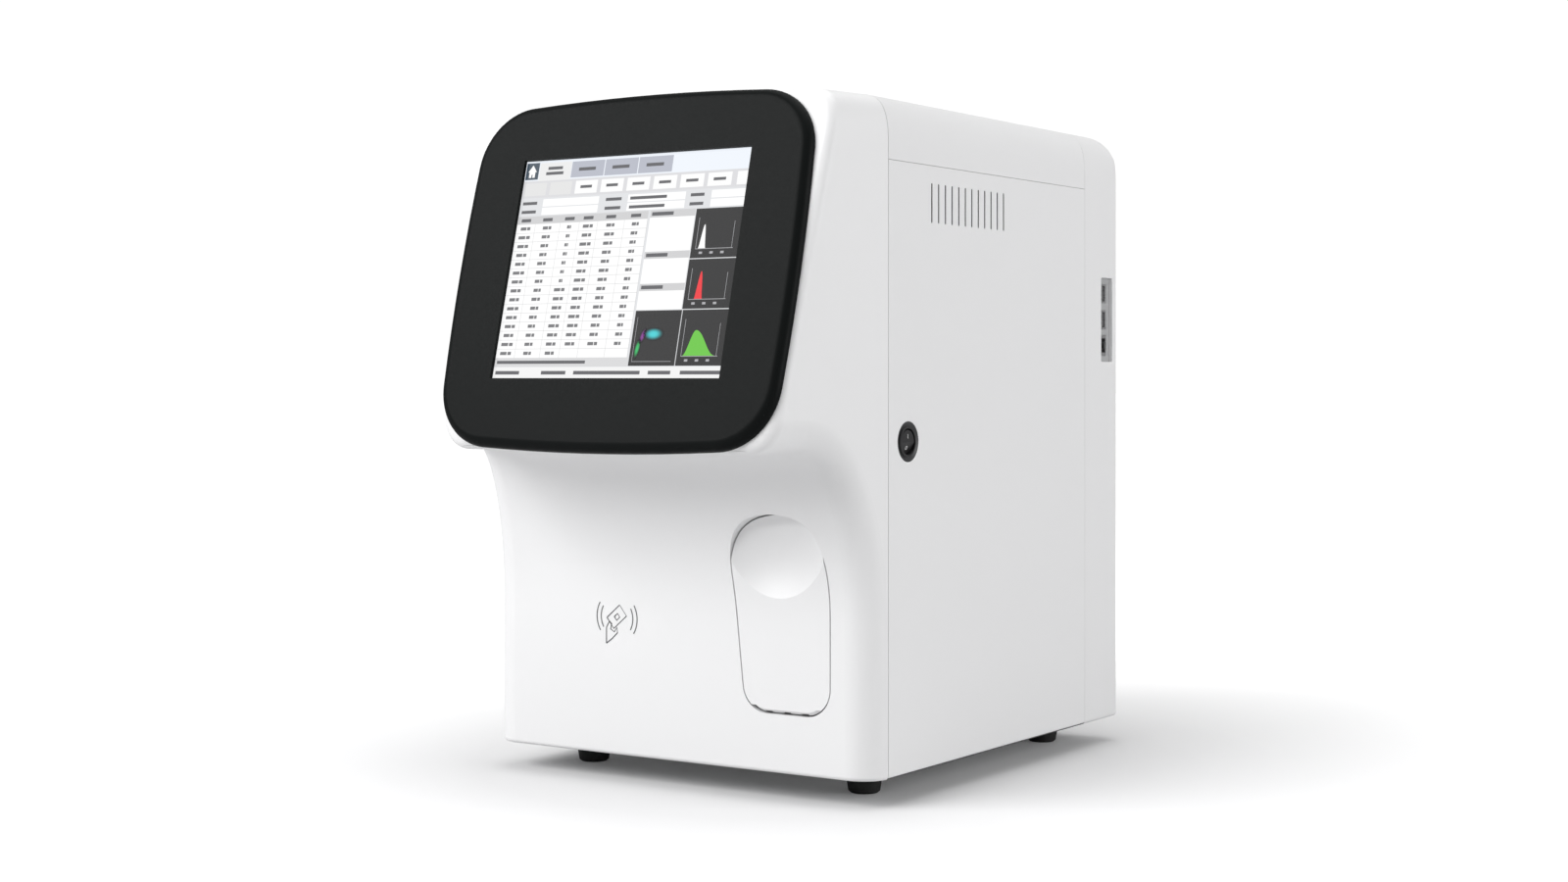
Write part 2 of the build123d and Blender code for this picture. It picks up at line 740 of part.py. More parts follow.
def sample_door():
    """The tilting door: the chest's own surface, a finger scoop and two hinge barrels."""
    prism = door_prism(0, 0)
    door = SHELL & prism
    dish = scoop_ball(WALL) & prism & OUTER
    door = door + dish - scoop_ball()
    ears, barrels = hinge_ears()
    axis = (HINGE_Y, HINGE_Z)
    for low, high in ears:
        door -= rod((low - 0.5, *axis), (high + 0.5, *axis), HINGE_R + 0.4)
        room = (HINGE_Y - HINGE_R - 0.4, HINGE_Y + HINGE_R)
        door -= between((low - 0.5, high + 0.5), room, (DOOR_LOW_Z - 1, HINGE_Z))
    for low, high in barrels:
        door += rod((low, *axis), (high, *axis), HINGE_R)
    door -= rod((0, *axis), (REACH, *axis), PIN_R + RUN_GAP)
    nose = Pos(0, -FRONT_D, DOOR_LOW_Z) * Rot(45, 0, 0) * Box(REACH, NOSE_CUT, NOSE_CUT)
    return door - nose - door_relief()


def door_hinge_pin():
    """The steel pin through the ears and the barrels."""
    ears, _ = hinge_ears()
    return rod((ears[0][0], HINGE_Y, HINGE_Z), (ears[-1][1], HINGE_Y, HINGE_Z), PIN_R)


def sample_compartment():
    """The moulded box behind the door, with the ears for the hinge pin and a hole in its roof."""
    x, z = LINER_X, LINER_Z
    t = LINER_T
    box = between((x[0] - t, x[1] + t), (COLLAR_END_Y, LINER_BACK_Y), (z[0], z[1] + t))
    box -= between(x, (COLLAR_END_Y - 1, LINER_BACK_Y - t), (z[0] + t, z[1]))
    box -= rod((TUBE_X, TUBE_Y, z[1] - 1), (TUBE_X, TUBE_Y, z[1] + t + 1), 14)
    for leg_x in (x[0] + 4, x[1] - 14):
        box += between((leg_x, leg_x + 10), (5, LINER_BACK_Y - 24), (SHEET, z[0]))
    ears, _ = hinge_ears()
    for low, high in ears:
        ear = rod((low, HINGE_Y, HINGE_Z), (high, HINGE_Y, HINGE_Z), HINGE_R)
        arm = (HINGE_Z - HINGE_R, HINGE_Z + HINGE_R)
        ear += between((low, high), (HINGE_Y, COLLAR_END_Y + 2), arm)
        ear += between((low, high), (COLLAR_END_Y, COLLAR_END_Y + 8), (z[0] + 1, arm[1]))
        box += ear
    return box - rod((0, HINGE_Y, HINGE_Z), (REACH, HINGE_Y, HINGE_Z), PIN_R + 0.02)


def tube_cradle():
    """The arm and ring on the door's inside that carry the tube adapter."""
    wall_y = WALL - FRONT_D
    low = ADAPTER_LOW_Z
    ring_r = ADAPTER_R + 3
    pad = between((TUBE_X - 10, TUBE_X + 10), (wall_y, wall_y + 2.5), (low + 2, low + 30))
    arm = between((TUBE_X - 6, TUBE_X + 6), (wall_y, TUBE_Y), (low, low + 8))
    cup = rod((TUBE_X, TUBE_Y, low - 2), (TUBE_X, TUBE_Y, low + 20), ring_r)
    well = rod((TUBE_X, TUBE_Y, low), (TUBE_X, TUBE_Y, low + 21), ADAPTER_R + 0.1)
    return pad + arm + cup - well


def tube_adapter():
    """The grey turned adapter with the bore for a 13 mm sample tube."""
    body = rod((TUBE_X, TUBE_Y, ADAPTER_LOW_Z), (TUBE_X, TUBE_Y, ADAPTER_LOW_Z + ADAPTER_H), ADAPTER_R)
    body = chamfer(body.edges().sort_by(Axis.Z)[-1], 1.0)
    bore_low = ADAPTER_LOW_Z + 4
    return body - rod((TUBE_X, TUBE_Y, bore_low), (TUBE_X, TUBE_Y, 100), TUBE_BORE_R)


# Power switch

def power_switch_body():
    """The round housing that snaps into the panel, with a flange in the dish."""
    y, z = SWITCH_Y, SWITCH_Z
    flange_x = HALF_W - DISH_D
    body = rod((flange_x, y, z), (HALF_W - 0.1, y, z), SWITCH_R)
    body = chamfer(body.edges().sort_by(Axis.X)[-1], 0.6)
    body += rod((SIDE_IN - 22, y, z), (flange_x, y, z), SWITCH_BARREL_R)
    well_x = HALF_W - SWITCH_WELL_D
    body -= rod((well_x, y, z), (HALF_W + 1, y, z), ROCKER_R + ROCKER_GAP)
    pivot_x = HALF_W - PIVOT_D
    body -= rod((pivot_x, y - 20, z), (pivot_x, y + 20, z), PIVOT_R + RUN_GAP)
    for dz in (-4, 4):
        body += between((SIDE_IN - 30, SIDE_IN - 22), (y - 0.4, y + 0.4), (z + dz - 2, z + dz + 2))
    return body


def power_rocker():
    """The round rocker, pressed in at its lower half, with its pivot ends."""
    pivot_x = HALF_W - PIVOT_D
    disc = rod((-3.5, 0, 0), (PIVOT_D, 0, 0), ROCKER_R)
    for side in (-1, 1):
        wedge = Pos(PIVOT_D - 0.6, 0, 0) * Rot(0, side * ROCKER_TILT, 0)
        half = between((0, 10), (-20, 20), (-4, 20) if side < 0 else (-20, 4))
        disc -= wedge * half
    disc += rod((0, -SWITCH_BARREL_R + 0.1, 0), (0, SWITCH_BARREL_R - 0.1, 0), PIVOT_R)
    return Pos(pivot_x, SWITCH_Y, SWITCH_Z) * Rot(0, ROCKER_TILT, 0) * disc


# Ports

def port_plate():
    """The plate behind the side window that holds the sockets."""
    x = (SIDE_IN - PORT_PLATE_T, SIDE_IN)
    plate = between(
        x,
        (PORT_Y - PORT_W / 2 - 3, PORT_Y + PORT_W / 2 + 3),
        (PORT_Z - PORT_H / 2 - 3, PORT_Z + PORT_H / 2 + 3),
    )
    for z in USB_Z:
        plate -= socket_block(z, SOCKET_W, SOCKET_H, 20)
    return plate - socket_block(NET_Z, SOCKET_W, NET_H + 1.4, 20)


def socket_block(z, width, height, depth, lift=0.0):
    """A block at one port's place, from the plate's face inwards."""
    return between(
        (SIDE_IN - depth, SIDE_IN + lift),
        (PORT_Y - width / 2, PORT_Y + width / 2),
        (z - height / 2, z + height / 2),
    )


def usb_sockets():
    """Two serial-bus sockets with their contact tongues."""
    sockets = []
    for z in USB_Z:
        socket = socket_block(z, SOCKET_W, SOCKET_H, 15)
        socket -= socket_block(z, USB_W - 0.6, USB_H - 0.6, 10, 1)
        tongue = socket_block(z, 1.9, USB_H - 2, 12, -1)
        sockets.append(socket + Pos(0, 0.9, 0) * tongue)
    return sockets


def network_socket():
    """The network socket, a deep box with a latch notch."""
    socket = socket_block(NET_Z, SOCKET_W, NET_H + 1.4, 17)
    socket -= socket_block(NET_Z, 7.0, 11.8, 13, 1)
    return socket - Pos(2.5, 3.5, 0) * socket_block(NET_Z, 3.0, 6.0, 13, 1)


# Back of the case

def power_inlet():
    """The mains inlet: flange, three-pin cavity and the fuse drawer's slot below it."""
    x, z = INLET_X, INLET_Z
    flange = between(
        (x - INLET_W / 2 - 2, x + INLET_W / 2 + 2),
        (BACK_Y, BACK_Y + 2),
        (z - INLET_H / 2 - 2, z + INLET_H / 2 + 2),
    )
    flange = fillet(flange.edges().filter_by(Axis.Y), 2.5)
    body = between(
        (x - INLET_W / 2 + 0.2, x + INLET_W / 2 - 0.2),
        (BACK_Y - 32, BACK_Y),
        (z - INLET_H / 2 + 0.2, z + INLET_H / 2 - 0.2),
    )
    mouth_z = z + INLET_MOUTH_UP
    mouth = RectangleRounded(MOUTH_W, MOUTH_H, 1.0)
    plane = Plane(origin=(x, BACK_Y + 3, mouth_z), x_dir=(-1, 0, 0), z_dir=(0, 1, 0))
    cavity = extrude(plane * mouth, -MOUTH_D - 3)
    for side in (-1, 1):
        corner = Pos(x + side * MOUTH_W / 2, BACK_Y - MOUTH_D / 2, mouth_z + MOUTH_H / 2)
        cavity -= corner * Rot(0, 45, 0) * Box(6, MOUTH_D + 8, 6)
    pins = []
    for dx, dz in ((-7, -1), (7, -1), (0, 3)):
        px, pz = x + dx, mouth_z + dz
        pins.append(between((px - 1, px + 1), (BACK_Y - MOUTH_D - 1, BACK_Y - 3), (pz - 2, pz + 2)))
    slot = drawer_block(DRAWER_GAP, DRAWER_D + 1, 3)
    return flange + body - cavity - slot + pins


def drawer_block(gap, depth, lift):
    """A block at the fuse drawer's place, from a depth inside the back to a lift outside it."""
    z = INLET_Z - INLET_DRAWER_DOWN
    return between(
        (INLET_X - DRAWER_W / 2 - gap, INLET_X + DRAWER_W / 2 + gap),
        (BACK_Y - depth, BACK_Y + lift),
        (z - DRAWER_H / 2 - gap, z + DRAWER_H / 2 + gap),
    )


def fuse_drawer():
    """The pull-out drawer: a tray with two glass fuses and a front with a finger groove."""
    z = INLET_Z - INLET_DRAWER_DOWN
    drawer = drawer_block(0, DRAWER_D, 2.4)
    drawer -= Pos(0, -5, DRAWER_H / 2) * drawer_block(1, DRAWER_D + 5, 2.0)
    for x in (INLET_X - 5, INLET_X + 5):
        drawer += rod((x, BACK_Y - DRAWER_D + 1, z + 1), (x, BACK_Y - 2, z + 1), 2.6)
    groove = rod((INLET_X - 4, BACK_Y + 2.4, z - 3), (INLET_X + 4, BACK_Y + 2.4, z - 3), 1.2)
    return drawer - groove


def ground_stud():
    """The threaded earthing stud with its flange nut."""
    nut = Plane(origin=(STUD_X, BACK_Y, STUD_Z), z_dir=(0, 1, 0)) * RegularPolygon(4.0, 6)
    stud = rod((STUD_X, BACK_Y - WALL - 4, STUD_Z), (STUD_X, BACK_Y + STUD_L, STUD_Z), STUD_R)
    washer = rod((STUD_X, BACK_Y, STUD_Z), (STUD_X, BACK_Y + 1, STUD_Z), 5)
    inner = rod((STUD_X, BACK_Y - WALL - 3, STUD_Z), (STUD_X, BACK_Y - WALL, STUD_Z), 4)
    return stud + washer + inner + extrude(nut, 3.5)


def fan_frame():
    """The square fan frame with its round tunnel and the motor's spider."""
    y = (BACK_Y - WALL - FAN_T, BACK_Y - WALL)
    half = FAN_SIZE / 2
    frame = between((FAN_X - half, FAN_X + half), y, (FAN_Z - half, FAN_Z + half))
    frame = fillet(frame.edges().filter_by(Axis.Y), 4)
    frame -= rod((FAN_X, y[0] - 1, FAN_Z), (FAN_X, y[1] + 1, FAN_Z), FAN_BORE_R)
    spider = []
    for i in range(4):
        arm = between((0, FAN_BORE_R + 1), (y[0], y[0] + 3), (-2, 2))
        spider.append(Pos(FAN_X, 0, FAN_Z) * Rot(0, 45 + 90 * i, 0) * arm)
    hub = rod((FAN_X, y[0], FAN_Z), (FAN_X, y[0] + 4, FAN_Z), FAN_HUB_R)
    post = rod((FAN_X, y[0], FAN_Z), (FAN_X, y[0] + 18, FAN_Z), FAN_POST_R)
    return frame + spider + hub + post


def fan_rotor():
    """The fan's hub with seven pitched blades."""
    y0 = BACK_Y - WALL - FAN_T
    low, high = y0 + 4.5, y0 + FAN_T - 1.5
    hub = rod((0, low, 0), (0, high, 0), FAN_HUB_R)
    hub = fillet(hub.edges().sort_by(Axis.Y)[-1], 1.5)
    blade_l = FAN_BORE_R - 1.2 - FAN_HUB_R + 2
    blade = Pos(FAN_HUB_R - 2 + blade_l / 2, (low + high) / 2, 0) * Rot(-38, 0, 0)
    blade = blade * Box(blade_l, 1.4, 17)
    sweep_zone = rod((0, low, 0), (0, high, 0), FAN_BORE_R - 1.2)
    blades = [Rot(0, i * 360 / FAN_BLADES, 0) * blade & sweep_zone for i in range(FAN_BLADES)]
    rotor = hub + blades
    rotor -= rod((0, low - 1, 0), (0, y0 + 19, 0), FAN_POST_R + RUN_GAP)
    return Pos(FAN_X, 0, FAN_Z) * rotor


def fan_guard():
    """The wire guard over the fan, rings on four spokes."""
    wire = GUARD_WIRE_R
    rings = []
    for radius in GUARD_RINGS:
        loop = rod((FAN_X, BACK_Y, FAN_Z), (FAN_X, BACK_Y + 2 * wire, FAN_Z), radius + wire)
        bore = rod((FAN_X, BACK_Y - 1, FAN_Z), (FAN_X, BACK_Y + 3 * wire, FAN_Z), radius - wire)
        rings.append(loop - bore)
    spokes = []
    for i in range(4):
        reach = (GUARD_RINGS[0] - wire, GUARD_RINGS[-1] + 2 * wire)
        spoke = between(reach, (BACK_Y + wire, BACK_Y + 3 * wire), (-wire, wire))
        spokes.append(Pos(FAN_X, 0, FAN_Z) * Rot(0, 45 + 90 * i, 0) * spoke)
    return rings[0] + rings[1:] + spokes


def fitting_places():
    """X of each fluid fitting."""
    first = FITTING_X - FITTING_PITCH * (FITTING_N - 1) / 2
    return [first + i * FITTING_PITCH for i in range(FITTING_N)]


def fitting_plate():
    """The plate on the back that carries the fluid fittings."""
    half = FITTING_PITCH * (FITTING_N - 1) / 2 + FITTING_BODY_R + 8
    plate = between(
        (FITTING_X - half, FITTING_X + half),
        (BACK_Y, BACK_Y + 2),
        (FITTING_Z - FITTING_BODY_R - 7, FITTING_Z + FITTING_BODY_R + 7),
    )
    plate = fillet(plate.edges().filter_by(Axis.Y), 3)
    for x in fitting_places():
        plate -= rod((x, BACK_Y - 1, FITTING_Z), (x, BACK_Y + 3, FITTING_Z), FITTING_BODY_R - 2.9)
    return plate


def fluid_fittings():
    """Bulkhead fittings: hexagon, straight hose nipple and a bored way through."""
    fittings = []
    for x in fitting_places():
        face = BACK_Y + 2
        nut = Plane(origin=(x, face, FITTING_Z), z_dir=(0, 1, 0)) * RegularPolygon(FITTING_BODY_R, 6)
        body = extrude(nut, 4)
        body += rod((x, BACK_Y - 12, FITTING_Z), (x, face, FITTING_Z), FITTING_BODY_R - 3)
        body += rod((x, face, FITTING_Z), (x, face + NIPPLE_END, FITTING_Z), NIPPLE_R)
        body = chamfer(body.edges().sort_by(Axis.Y)[-1], 0.5)
        fittings.append(body - rod((x, BACK_Y - 13, FITTING_Z), (x, REACH, FITTING_Z), NIPPLE_BORE_R))
    return fittings


# Sampling gantry

def gantry_plate():
    """The upright plate beside the sampler, with its feet, motor standoffs and idler pin."""
    x = (GANTRY_X, GANTRY_X + 2)
    plate = between(x, GANTRY_Y, (335, 412))
    for y in (0, GANTRY_Y[1] - 32):
        plate += between((x[1], FRAME_IN), (y, y + 12), (342, 378))
    for dy in (-MOTOR_BOLT, MOTOR_BOLT):
        for dz in (-MOTOR_BOLT, MOTOR_BOLT):
            at = (PULLEY_BACK_Y + dy, BELT_Z + dz)
            plate += rod((MOTOR_FACE_X, *at), (x[0], *at), 2.5)
    at = (PULLEY_FRONT_Y, BELT_Z)
    plate += rod((PULLEY_X[0] - 2, *at), (GANTRY_X, *at), 2)
    return plate + rod((PULLEY_X[0] - 2, *at), (PULLEY_X[0] - 0.5, *at), 4)


def gantry_rail():
    """The hardened guide rail the carriage runs on."""
    rail = between((GANTRY_X - 6, GANTRY_X), (2, 176), (362, 374))
    groove = between((GANTRY_X - 4.5, GANTRY_X - 3), (0, 180), (361, 363.5))
    return rail - groove - Pos(0, 0, 12) * groove


def gantry_motor():
    """The stepper motor that drives the belt."""
    half = 17.5
    y, z = PULLEY_BACK_Y, BELT_Z
    body = between((MOTOR_FACE_X - 34, MOTOR_FACE_X), (y - half, y + half), (z - half, z + half))
    body = chamfer(body.edges().filter_by(Axis.X), 3)
    return body - rod((MOTOR_FACE_X - 12, y, z), (MOTOR_FACE_X + 1, y, z), SHAFT_R + RUN_GAP)


def pulley(y):
    """A flanged belt pulley."""
    z = BELT_Z
    wheel = rod((PULLEY_X[0], y, z), (PULLEY_X[1], y, z), PULLEY_R)
    wheel += rod((PULLEY_X[0], y, z), (PULLEY_X[0] + 1, y, z), PULLEY_R + 1.6)
    return wheel + rod((PULLEY_X[1] - 1, y, z), (PULLEY_X[1], y, z), PULLEY_R + 1.6)


def drive_pulley():
    """The driven pulley on the motor's shaft."""
    at = (PULLEY_BACK_Y, BELT_Z)
    return pulley(PULLEY_BACK_Y) + rod((MOTOR_FACE_X - 11, *at), (PULLEY_X[1], *at), SHAFT_R)


def idler_pulley():
    """The idler pulley, bored for its pin."""
    at = (PULLEY_FRONT_Y, BELT_Z)
    return pulley(PULLEY_FRONT_Y) - rod((PULLEY_X[0] - 1, *at), (PULLEY_X[1] + 1, *at), 2 + RUN_GAP)


def gantry_belt():
    """The belt's closed loop round both pulleys."""
    inner_r = PULLEY_R + FIT_GAP
    span = PULLEY_BACK_Y - PULLEY_FRONT_Y
    middle = (PULLEY_BACK_Y + PULLEY_FRONT_Y) / 2
    loops = []
    for radius in (inner_r + 1.0, inner_r):
        slot = SlotOverall(span + 2 * radius, 2 * radius)
        plane = Plane(origin=(PULLEY_X[0] + 1.3, middle, BELT_Z), x_dir=(0, 1, 0), z_dir=(1, 0, 0))
        loops.append(extrude(plane * slot, PULLEY_X[1] - PULLEY_X[0] - 2.6))
    return loops[0] - loops[1]


def carriage():
    """The rider on the rail: long plate, upright guide and two shelves for the lift screw."""
    y = (TUBE_Y - 18, TUBE_Y + 18)
    block = between((PLATE_X - 1, GANTRY_X - 0.5), y, (355, 381))
    block -= between((GANTRY_X - 6 - RUN_GAP, GANTRY_X), (-REACH, REACH), (362 - RUN_GAP, 374 + RUN_GAP))
    plate = between((PLATE_X - 3, PLATE_X), y, (SHELF_Z, 384))
    top = between((TUBE_X + 7, PLATE_X), (TUBE_Y - 14, TUBE_Y + 14), (381, 384))
    low = between((TUBE_X - 9, PLATE_X), (TUBE_Y - 10, TUBE_Y + 10), (SHELF_Z, SHELF_Z + 3))
    clip = between((PULLEY_X[0] + 2, PULLEY_X[1] - 2), (TUBE_Y - 6, TUBE_Y + 6), (380, 384))
    guide = between((PLATE_X - 9, PLATE_X - 3), (TUBE_Y - 4, TUBE_Y + 4), (SHELF_Z + 3, 381))
    body = block + plate + top + low + clip + guide
    body -= rod((LIFT_X, TUBE_Y, 380), (LIFT_X, TUBE_Y, 385), LIFT_R + 1)
    body -= rod((LIFT_X, TUBE_Y, SHELF_Z - 1), (LIFT_X, TUBE_Y, SHELF_Z + 4), LIFT_R + RUN_GAP)
    return body - rod((TUBE_X, TUBE_Y, SHELF_Z - 1), (TUBE_X, TUBE_Y, SHELF_Z + 4), 3)


def probe_motor():
    """The small stepper motor on top of the carriage."""
    body = between((LIFT_X - 14, LIFT_X + 14), (TUBE_Y - 14, TUBE_Y + 14), (384, 414))
    body = chamfer(body.edges().filter_by(Axis.Z), 2.5)
    return body - rod((LIFT_X, TUBE_Y, 383), (LIFT_X, TUBE_Y, 396), LIFT_R + RUN_GAP)


def probe_screw():
    """The lift screw, from the motor down to the lower shelf."""
    return rod((LIFT_X, TUBE_Y, SHELF_Z), (LIFT_X, TUBE_Y, 395), LIFT_R)


def probe_holder():
    """The nut block that rides the upright guide and holds the probe."""
    x = PLATE_X - 9 - FIT_GAP
    z = (HOLDER_Z, HOLDER_Z + 20)
    block = between((TUBE_X - 5, x), (TUBE_Y - 10, TUBE_Y + 10), z)
    for y in ((TUBE_Y - 10, TUBE_Y - 4 - FIT_GAP), (TUBE_Y + 4 + FIT_GAP, TUBE_Y + 10)):
        block += between((x, PLATE_X - 4), y, z)
    block -= rod((LIFT_X, TUBE_Y, z[0] - 1), (LIFT_X, TUBE_Y, z[1] + 1), LIFT_R + RUN_GAP)
    return block - rod((TUBE_X, TUBE_Y, z[0] - 1), (TUBE_X, TUBE_Y, z[1] + 1), PROBE_R + 0.02)


def sampling_probe():
    """The thin steel probe with its hub."""
    top = HOLDER_Z + 20
    probe = rod((TUBE_X, TUBE_Y, PROBE_TIP_Z), (TUBE_X, TUBE_Y, top + 10), PROBE_R)
    probe += rod((TUBE_X, TUBE_Y, top), (TUBE_X, TUBE_Y, top + 7), 3.2)
    return probe - rod((TUBE_X, TUBE_Y, PROBE_TIP_Z - 1), (TUBE_X, TUBE_Y, top + 11), 0.4)


def rinse_block():
    """The swab that wipes and rinses the probe."""
    body = rod((TUBE_X, TUBE_Y, SHELF_Z - 12), (TUBE_X, TUBE_Y, SHELF_Z), 8)
    port = rod((TUBE_X - 13, TUBE_Y, SHELF_Z - 6), (TUBE_X, TUBE_Y, SHELF_Z - 6), 1.5)
    return body + port - rod((TUBE_X, TUBE_Y, 100), (TUBE_X, TUBE_Y, SHELF_Z + 1), PROBE_R + 0.6)


# Fluid parts

def counting_baths():
    """Two clear cups with conical floors, lugs and drain nipples."""
    baths = []
    for y in BATH_Y:
        low, high = BATH_Z
        profile = Polyline(
            (0, low), (3, low), (15, low + 9), (15, high), (12, high), (12, low + 11), (0, low + 3), (0, low)
        )
        cup = revolve(Plane.XZ * make_face(profile), Axis.Z)
        cup = Pos(TUBE_X, y, 0) * cup
        cup += rod((TUBE_X, y, low - 8), (TUBE_X, y, low + 1), 2)
        lug = between((TUBE_X + 13.5, BATH_WALL_X), (y - 8, y + 8), (low + 12, high - 6))
        baths.append(cup + lug)
    return baths


def bath_bracket():
    """The folded bracket the baths are screwed to."""
    y = (BATH_Y[0] - 18, BATH_Y[1] + 18)
    wall = between((BATH_WALL_X, BATH_WALL_X + SHEET), y, (SHEET, BATH_Z[1]))
    return wall + between((BATH_WALL_X, BATH_WALL_X + 20), y, (SHEET, 2 * SHEET))


def syringe_bracket():
    """The upright plate for both syringe pumps, with a clamp for each barrel."""
    x = (SYRINGE_X[0] - 25, SYRINGE_X[1] + 25)
    plate = between(x, (SYRINGE_WALL_Y, SYRINGE_WALL_Y + 2), (SHEET, 240))
    plate += between(x, (SYRINGE_WALL_Y, SYRINGE_WALL_Y + 25), (SHEET, 2 * SHEET))
    plate -= rod((-FOOT_X, FOOT_FRONT_Y, 0), (-FOOT_X, FOOT_FRONT_Y, 9), FOOT_SCREW_R + 1)
    for place, radius in zip(SYRINGE_X, SYRINGE_R):
        clamp = between((place - 9, place + 9), (SYRINGE_Y, SYRINGE_WALL_Y), (185, 200))
        plate += clamp
        plate -= rod((place, SYRINGE_Y, 150), (place, SYRINGE_Y, 230), radius + FIT_GAP / 3)
        plate += between((place - 10, place + 10), (SYRINGE_Y + 13.9, SYRINGE_WALL_Y), (32, 60))
    return plate


def syringe_barrels():
    """Two glass barrels with their end caps and outlet nipples."""
    barrels = []
    for x, radius in zip(SYRINGE_X, SYRINGE_R):
        low = (x, SYRINGE_Y, 160)
        top = (x, SYRINGE_Y, 226)
        barrel = rod(low, top, radius) - rod((x, SYRINGE_Y, 159), (x, SYRINGE_Y, 222), radius - 1.2)
        barrel += rod(top, (x, SYRINGE_Y, 232), radius + 1)
        barrels.append(barrel + rod(top, (x, SYRINGE_Y, 242), 2))
    return barrels


def syringe_plunger(index):
    """A plunger with its piston, rod, drive block and the actuator's shaft."""
    x, radius = SYRINGE_X[index], SYRINGE_R[index]
    y = SYRINGE_Y
    piston = rod((x, y, 208), (x, y, 218), radius - 1.2 - RUN_GAP)
    stem = rod((x, y, 108), (x, y, 208), radius * 0.35)
    block = between((x - 10, x + 10), (y - 9, y + 9), (95, 109))
    return piston + stem + block + rod((x, y, 50), (x, y, 95), SHAFT_R)


def syringe_motors():
    """Two linear stepper motors that the plungers' shafts run through."""
    motors = []
    for x in SYRINGE_X:
        body = between((x - 14, x + 14), (SYRINGE_Y - 14, SYRINGE_Y + 13.9), (30, 62))
        body = chamfer(body.edges().filter_by(Axis.Z), 2.5)
        at = (x, SYRINGE_Y)
        motors.append(body - rod((*at, 29), (*at, 63), SHAFT_R + RUN_GAP))
    return motors


def valve_manifold():
    """The fluid manifold on its foot."""
    block = between((-38, 38), (MANIFOLD_Y, MANIFOLD_Y + 14), (SHEET, 196))
    foot = between((-38, 38), (MANIFOLD_Y, MANIFOLD_Y + 34), (SHEET, 4))
    window = between((-26, 26), (MANIFOLD_Y - 1, MANIFOLD_Y + 15), (12, 50))
    return block + foot - window


def solenoid_valves():
    """Eight solenoid valves in two columns on the manifold."""
    valves = []
    for x in (-19, 19):
        for i in range(4):
            z = 72 + i * 34
            valve = rod((x, MANIFOLD_Y - 26, z), (x, MANIFOLD_Y, z), 10)
            valve += rod((x, MANIFOLD_Y - 30, z), (x, MANIFOLD_Y - 26, z), 5)
            valves.append(valve + between((x - 12, x + 12), (MANIFOLD_Y - 8, MANIFOLD_Y), (z - 12, z + 12)))
    return valves


def vacuum_chamber():
    """The clear vacuum and waste bottle with a domed top."""
    x, y = CHAMBER_AT
    bottle = rod((x, y, SHEET), (x, y, 120), CHAMBER_R)
    bottle = fillet(bottle.edges().sort_by(Axis.Z)[-1], 12)
    neck = rod((x, y, 118), (x, y, 130), 10)
    return bottle + neck + rod((x, y, 130), (x, y, 136), 13)


def air_pump():
    """The twin-head diaphragm pump for pressure and vacuum."""
    x = AIR_X
    base = between((x - 35, x + 35), (180, 280), (SHEET, 6))
    motor = rod((x, 200, 36), (x, 260, 36), 24)
    saddle = between((x - 20, x + 20), (205, 255), (6, 30))
    heads = between((x - 26, x + 26), (184, 202), (14, 62))
    heads += between((x - 26, x + 26), (258, 276), (14, 62))
    return base + motor + saddle + heads


def waste_pump_body():
    """The peristaltic pump: gear motor and the round head with its open race."""
    x, z = PUMP_AT
    y = PUMP_Y
    motor = between((x - 22, x + 22), (y, y + 44), (SHEET, z + 22))
    head = rod((x, y - 22, z), (x, y, z), PUMP_R)
    head -= rod((x, y - 23, z), (x, y - 3, z), PUMP_R - 5)
    return motor + head - rod((x, y - 4, z), (x, y + 14, z), SHAFT_R + RUN_GAP)


def waste_pump_rotor():
    """The three-roller rotor on its shaft."""
    x, z = PUMP_AT
    y = PUMP_Y
    plates = rod((0, y - 20, 0), (0, y - 18, 0), 15) + rod((0, y - 6, 0), (0, y - 4, 0), 15)
    rollers = []
    for i in range(3):
        turn = radians(120 * i + 30)
        at = (13 * cos(turn), 13 * sin(turn))
        rollers.append(rod((at[0], y - 18, at[1]), (at[0], y - 6, at[1]), 5))
    shaft = rod((0, y - 20, 0), (0, y + 13, 0), SHAFT_R)
    return Pos(x, 0, z) * (plates + rollers + shaft)


# Optics and electronics

def optical_bench():
    """The optical bench: base, light-tight body, detector turret and finned laser housing."""
    left = BENCH_SIDE - FRAME_IN
    base = between((left, left + 180), (110, 290), (DECK_Z, DECK_Z + 10))
    base = fillet(base.edges().filter_by(Axis.Z), 8)
    body = between((left + 50, left + 160), (130, 270), (DECK_Z + 10, DECK_Z + 70))
    body = chamfer(body.edges().filter_by(Axis.Z), 6)
    turret = rod((left + 105, 200, DECK_Z + 70), (left + 105, 200, DECK_Z + 92), 18)
    z = DECK_Z + 40
    x = (left + 5, left + 38)
    laser = between(x, (182, 218), (DECK_Z + 10, z + 18))
    laser += [between(x, (185 + 6 * i, 188 + 6 * i), (z + 18, z + 26)) for i in range(6)]
    laser += rod((x[1], 200, z), (left + 50, 200, z), 9)
    return base + body + turret + laser


def main_board():
    """The control board on its spacers, with its larger parts."""
    x = BOARD_X
    board = between((x, x + 1.6), (70, 290), (285, 380))
    chips = [
        between((x + 1.6, x + 4), (95 + 45 * i, 120 + 45 * i), (330, 355)) for i in range(4)
    ]
    plugs = [between((x + 1.6, x + 12), (85 + 32 * i, 105 + 32 * i), (290, 298)) for i in range(6)]
    spacers = [
        rod((-FRAME_IN, y, z), (x, y, z), 3) for y in (76, 284) for z in (291, 374)
    ]
    return board + chips + plugs + spacers


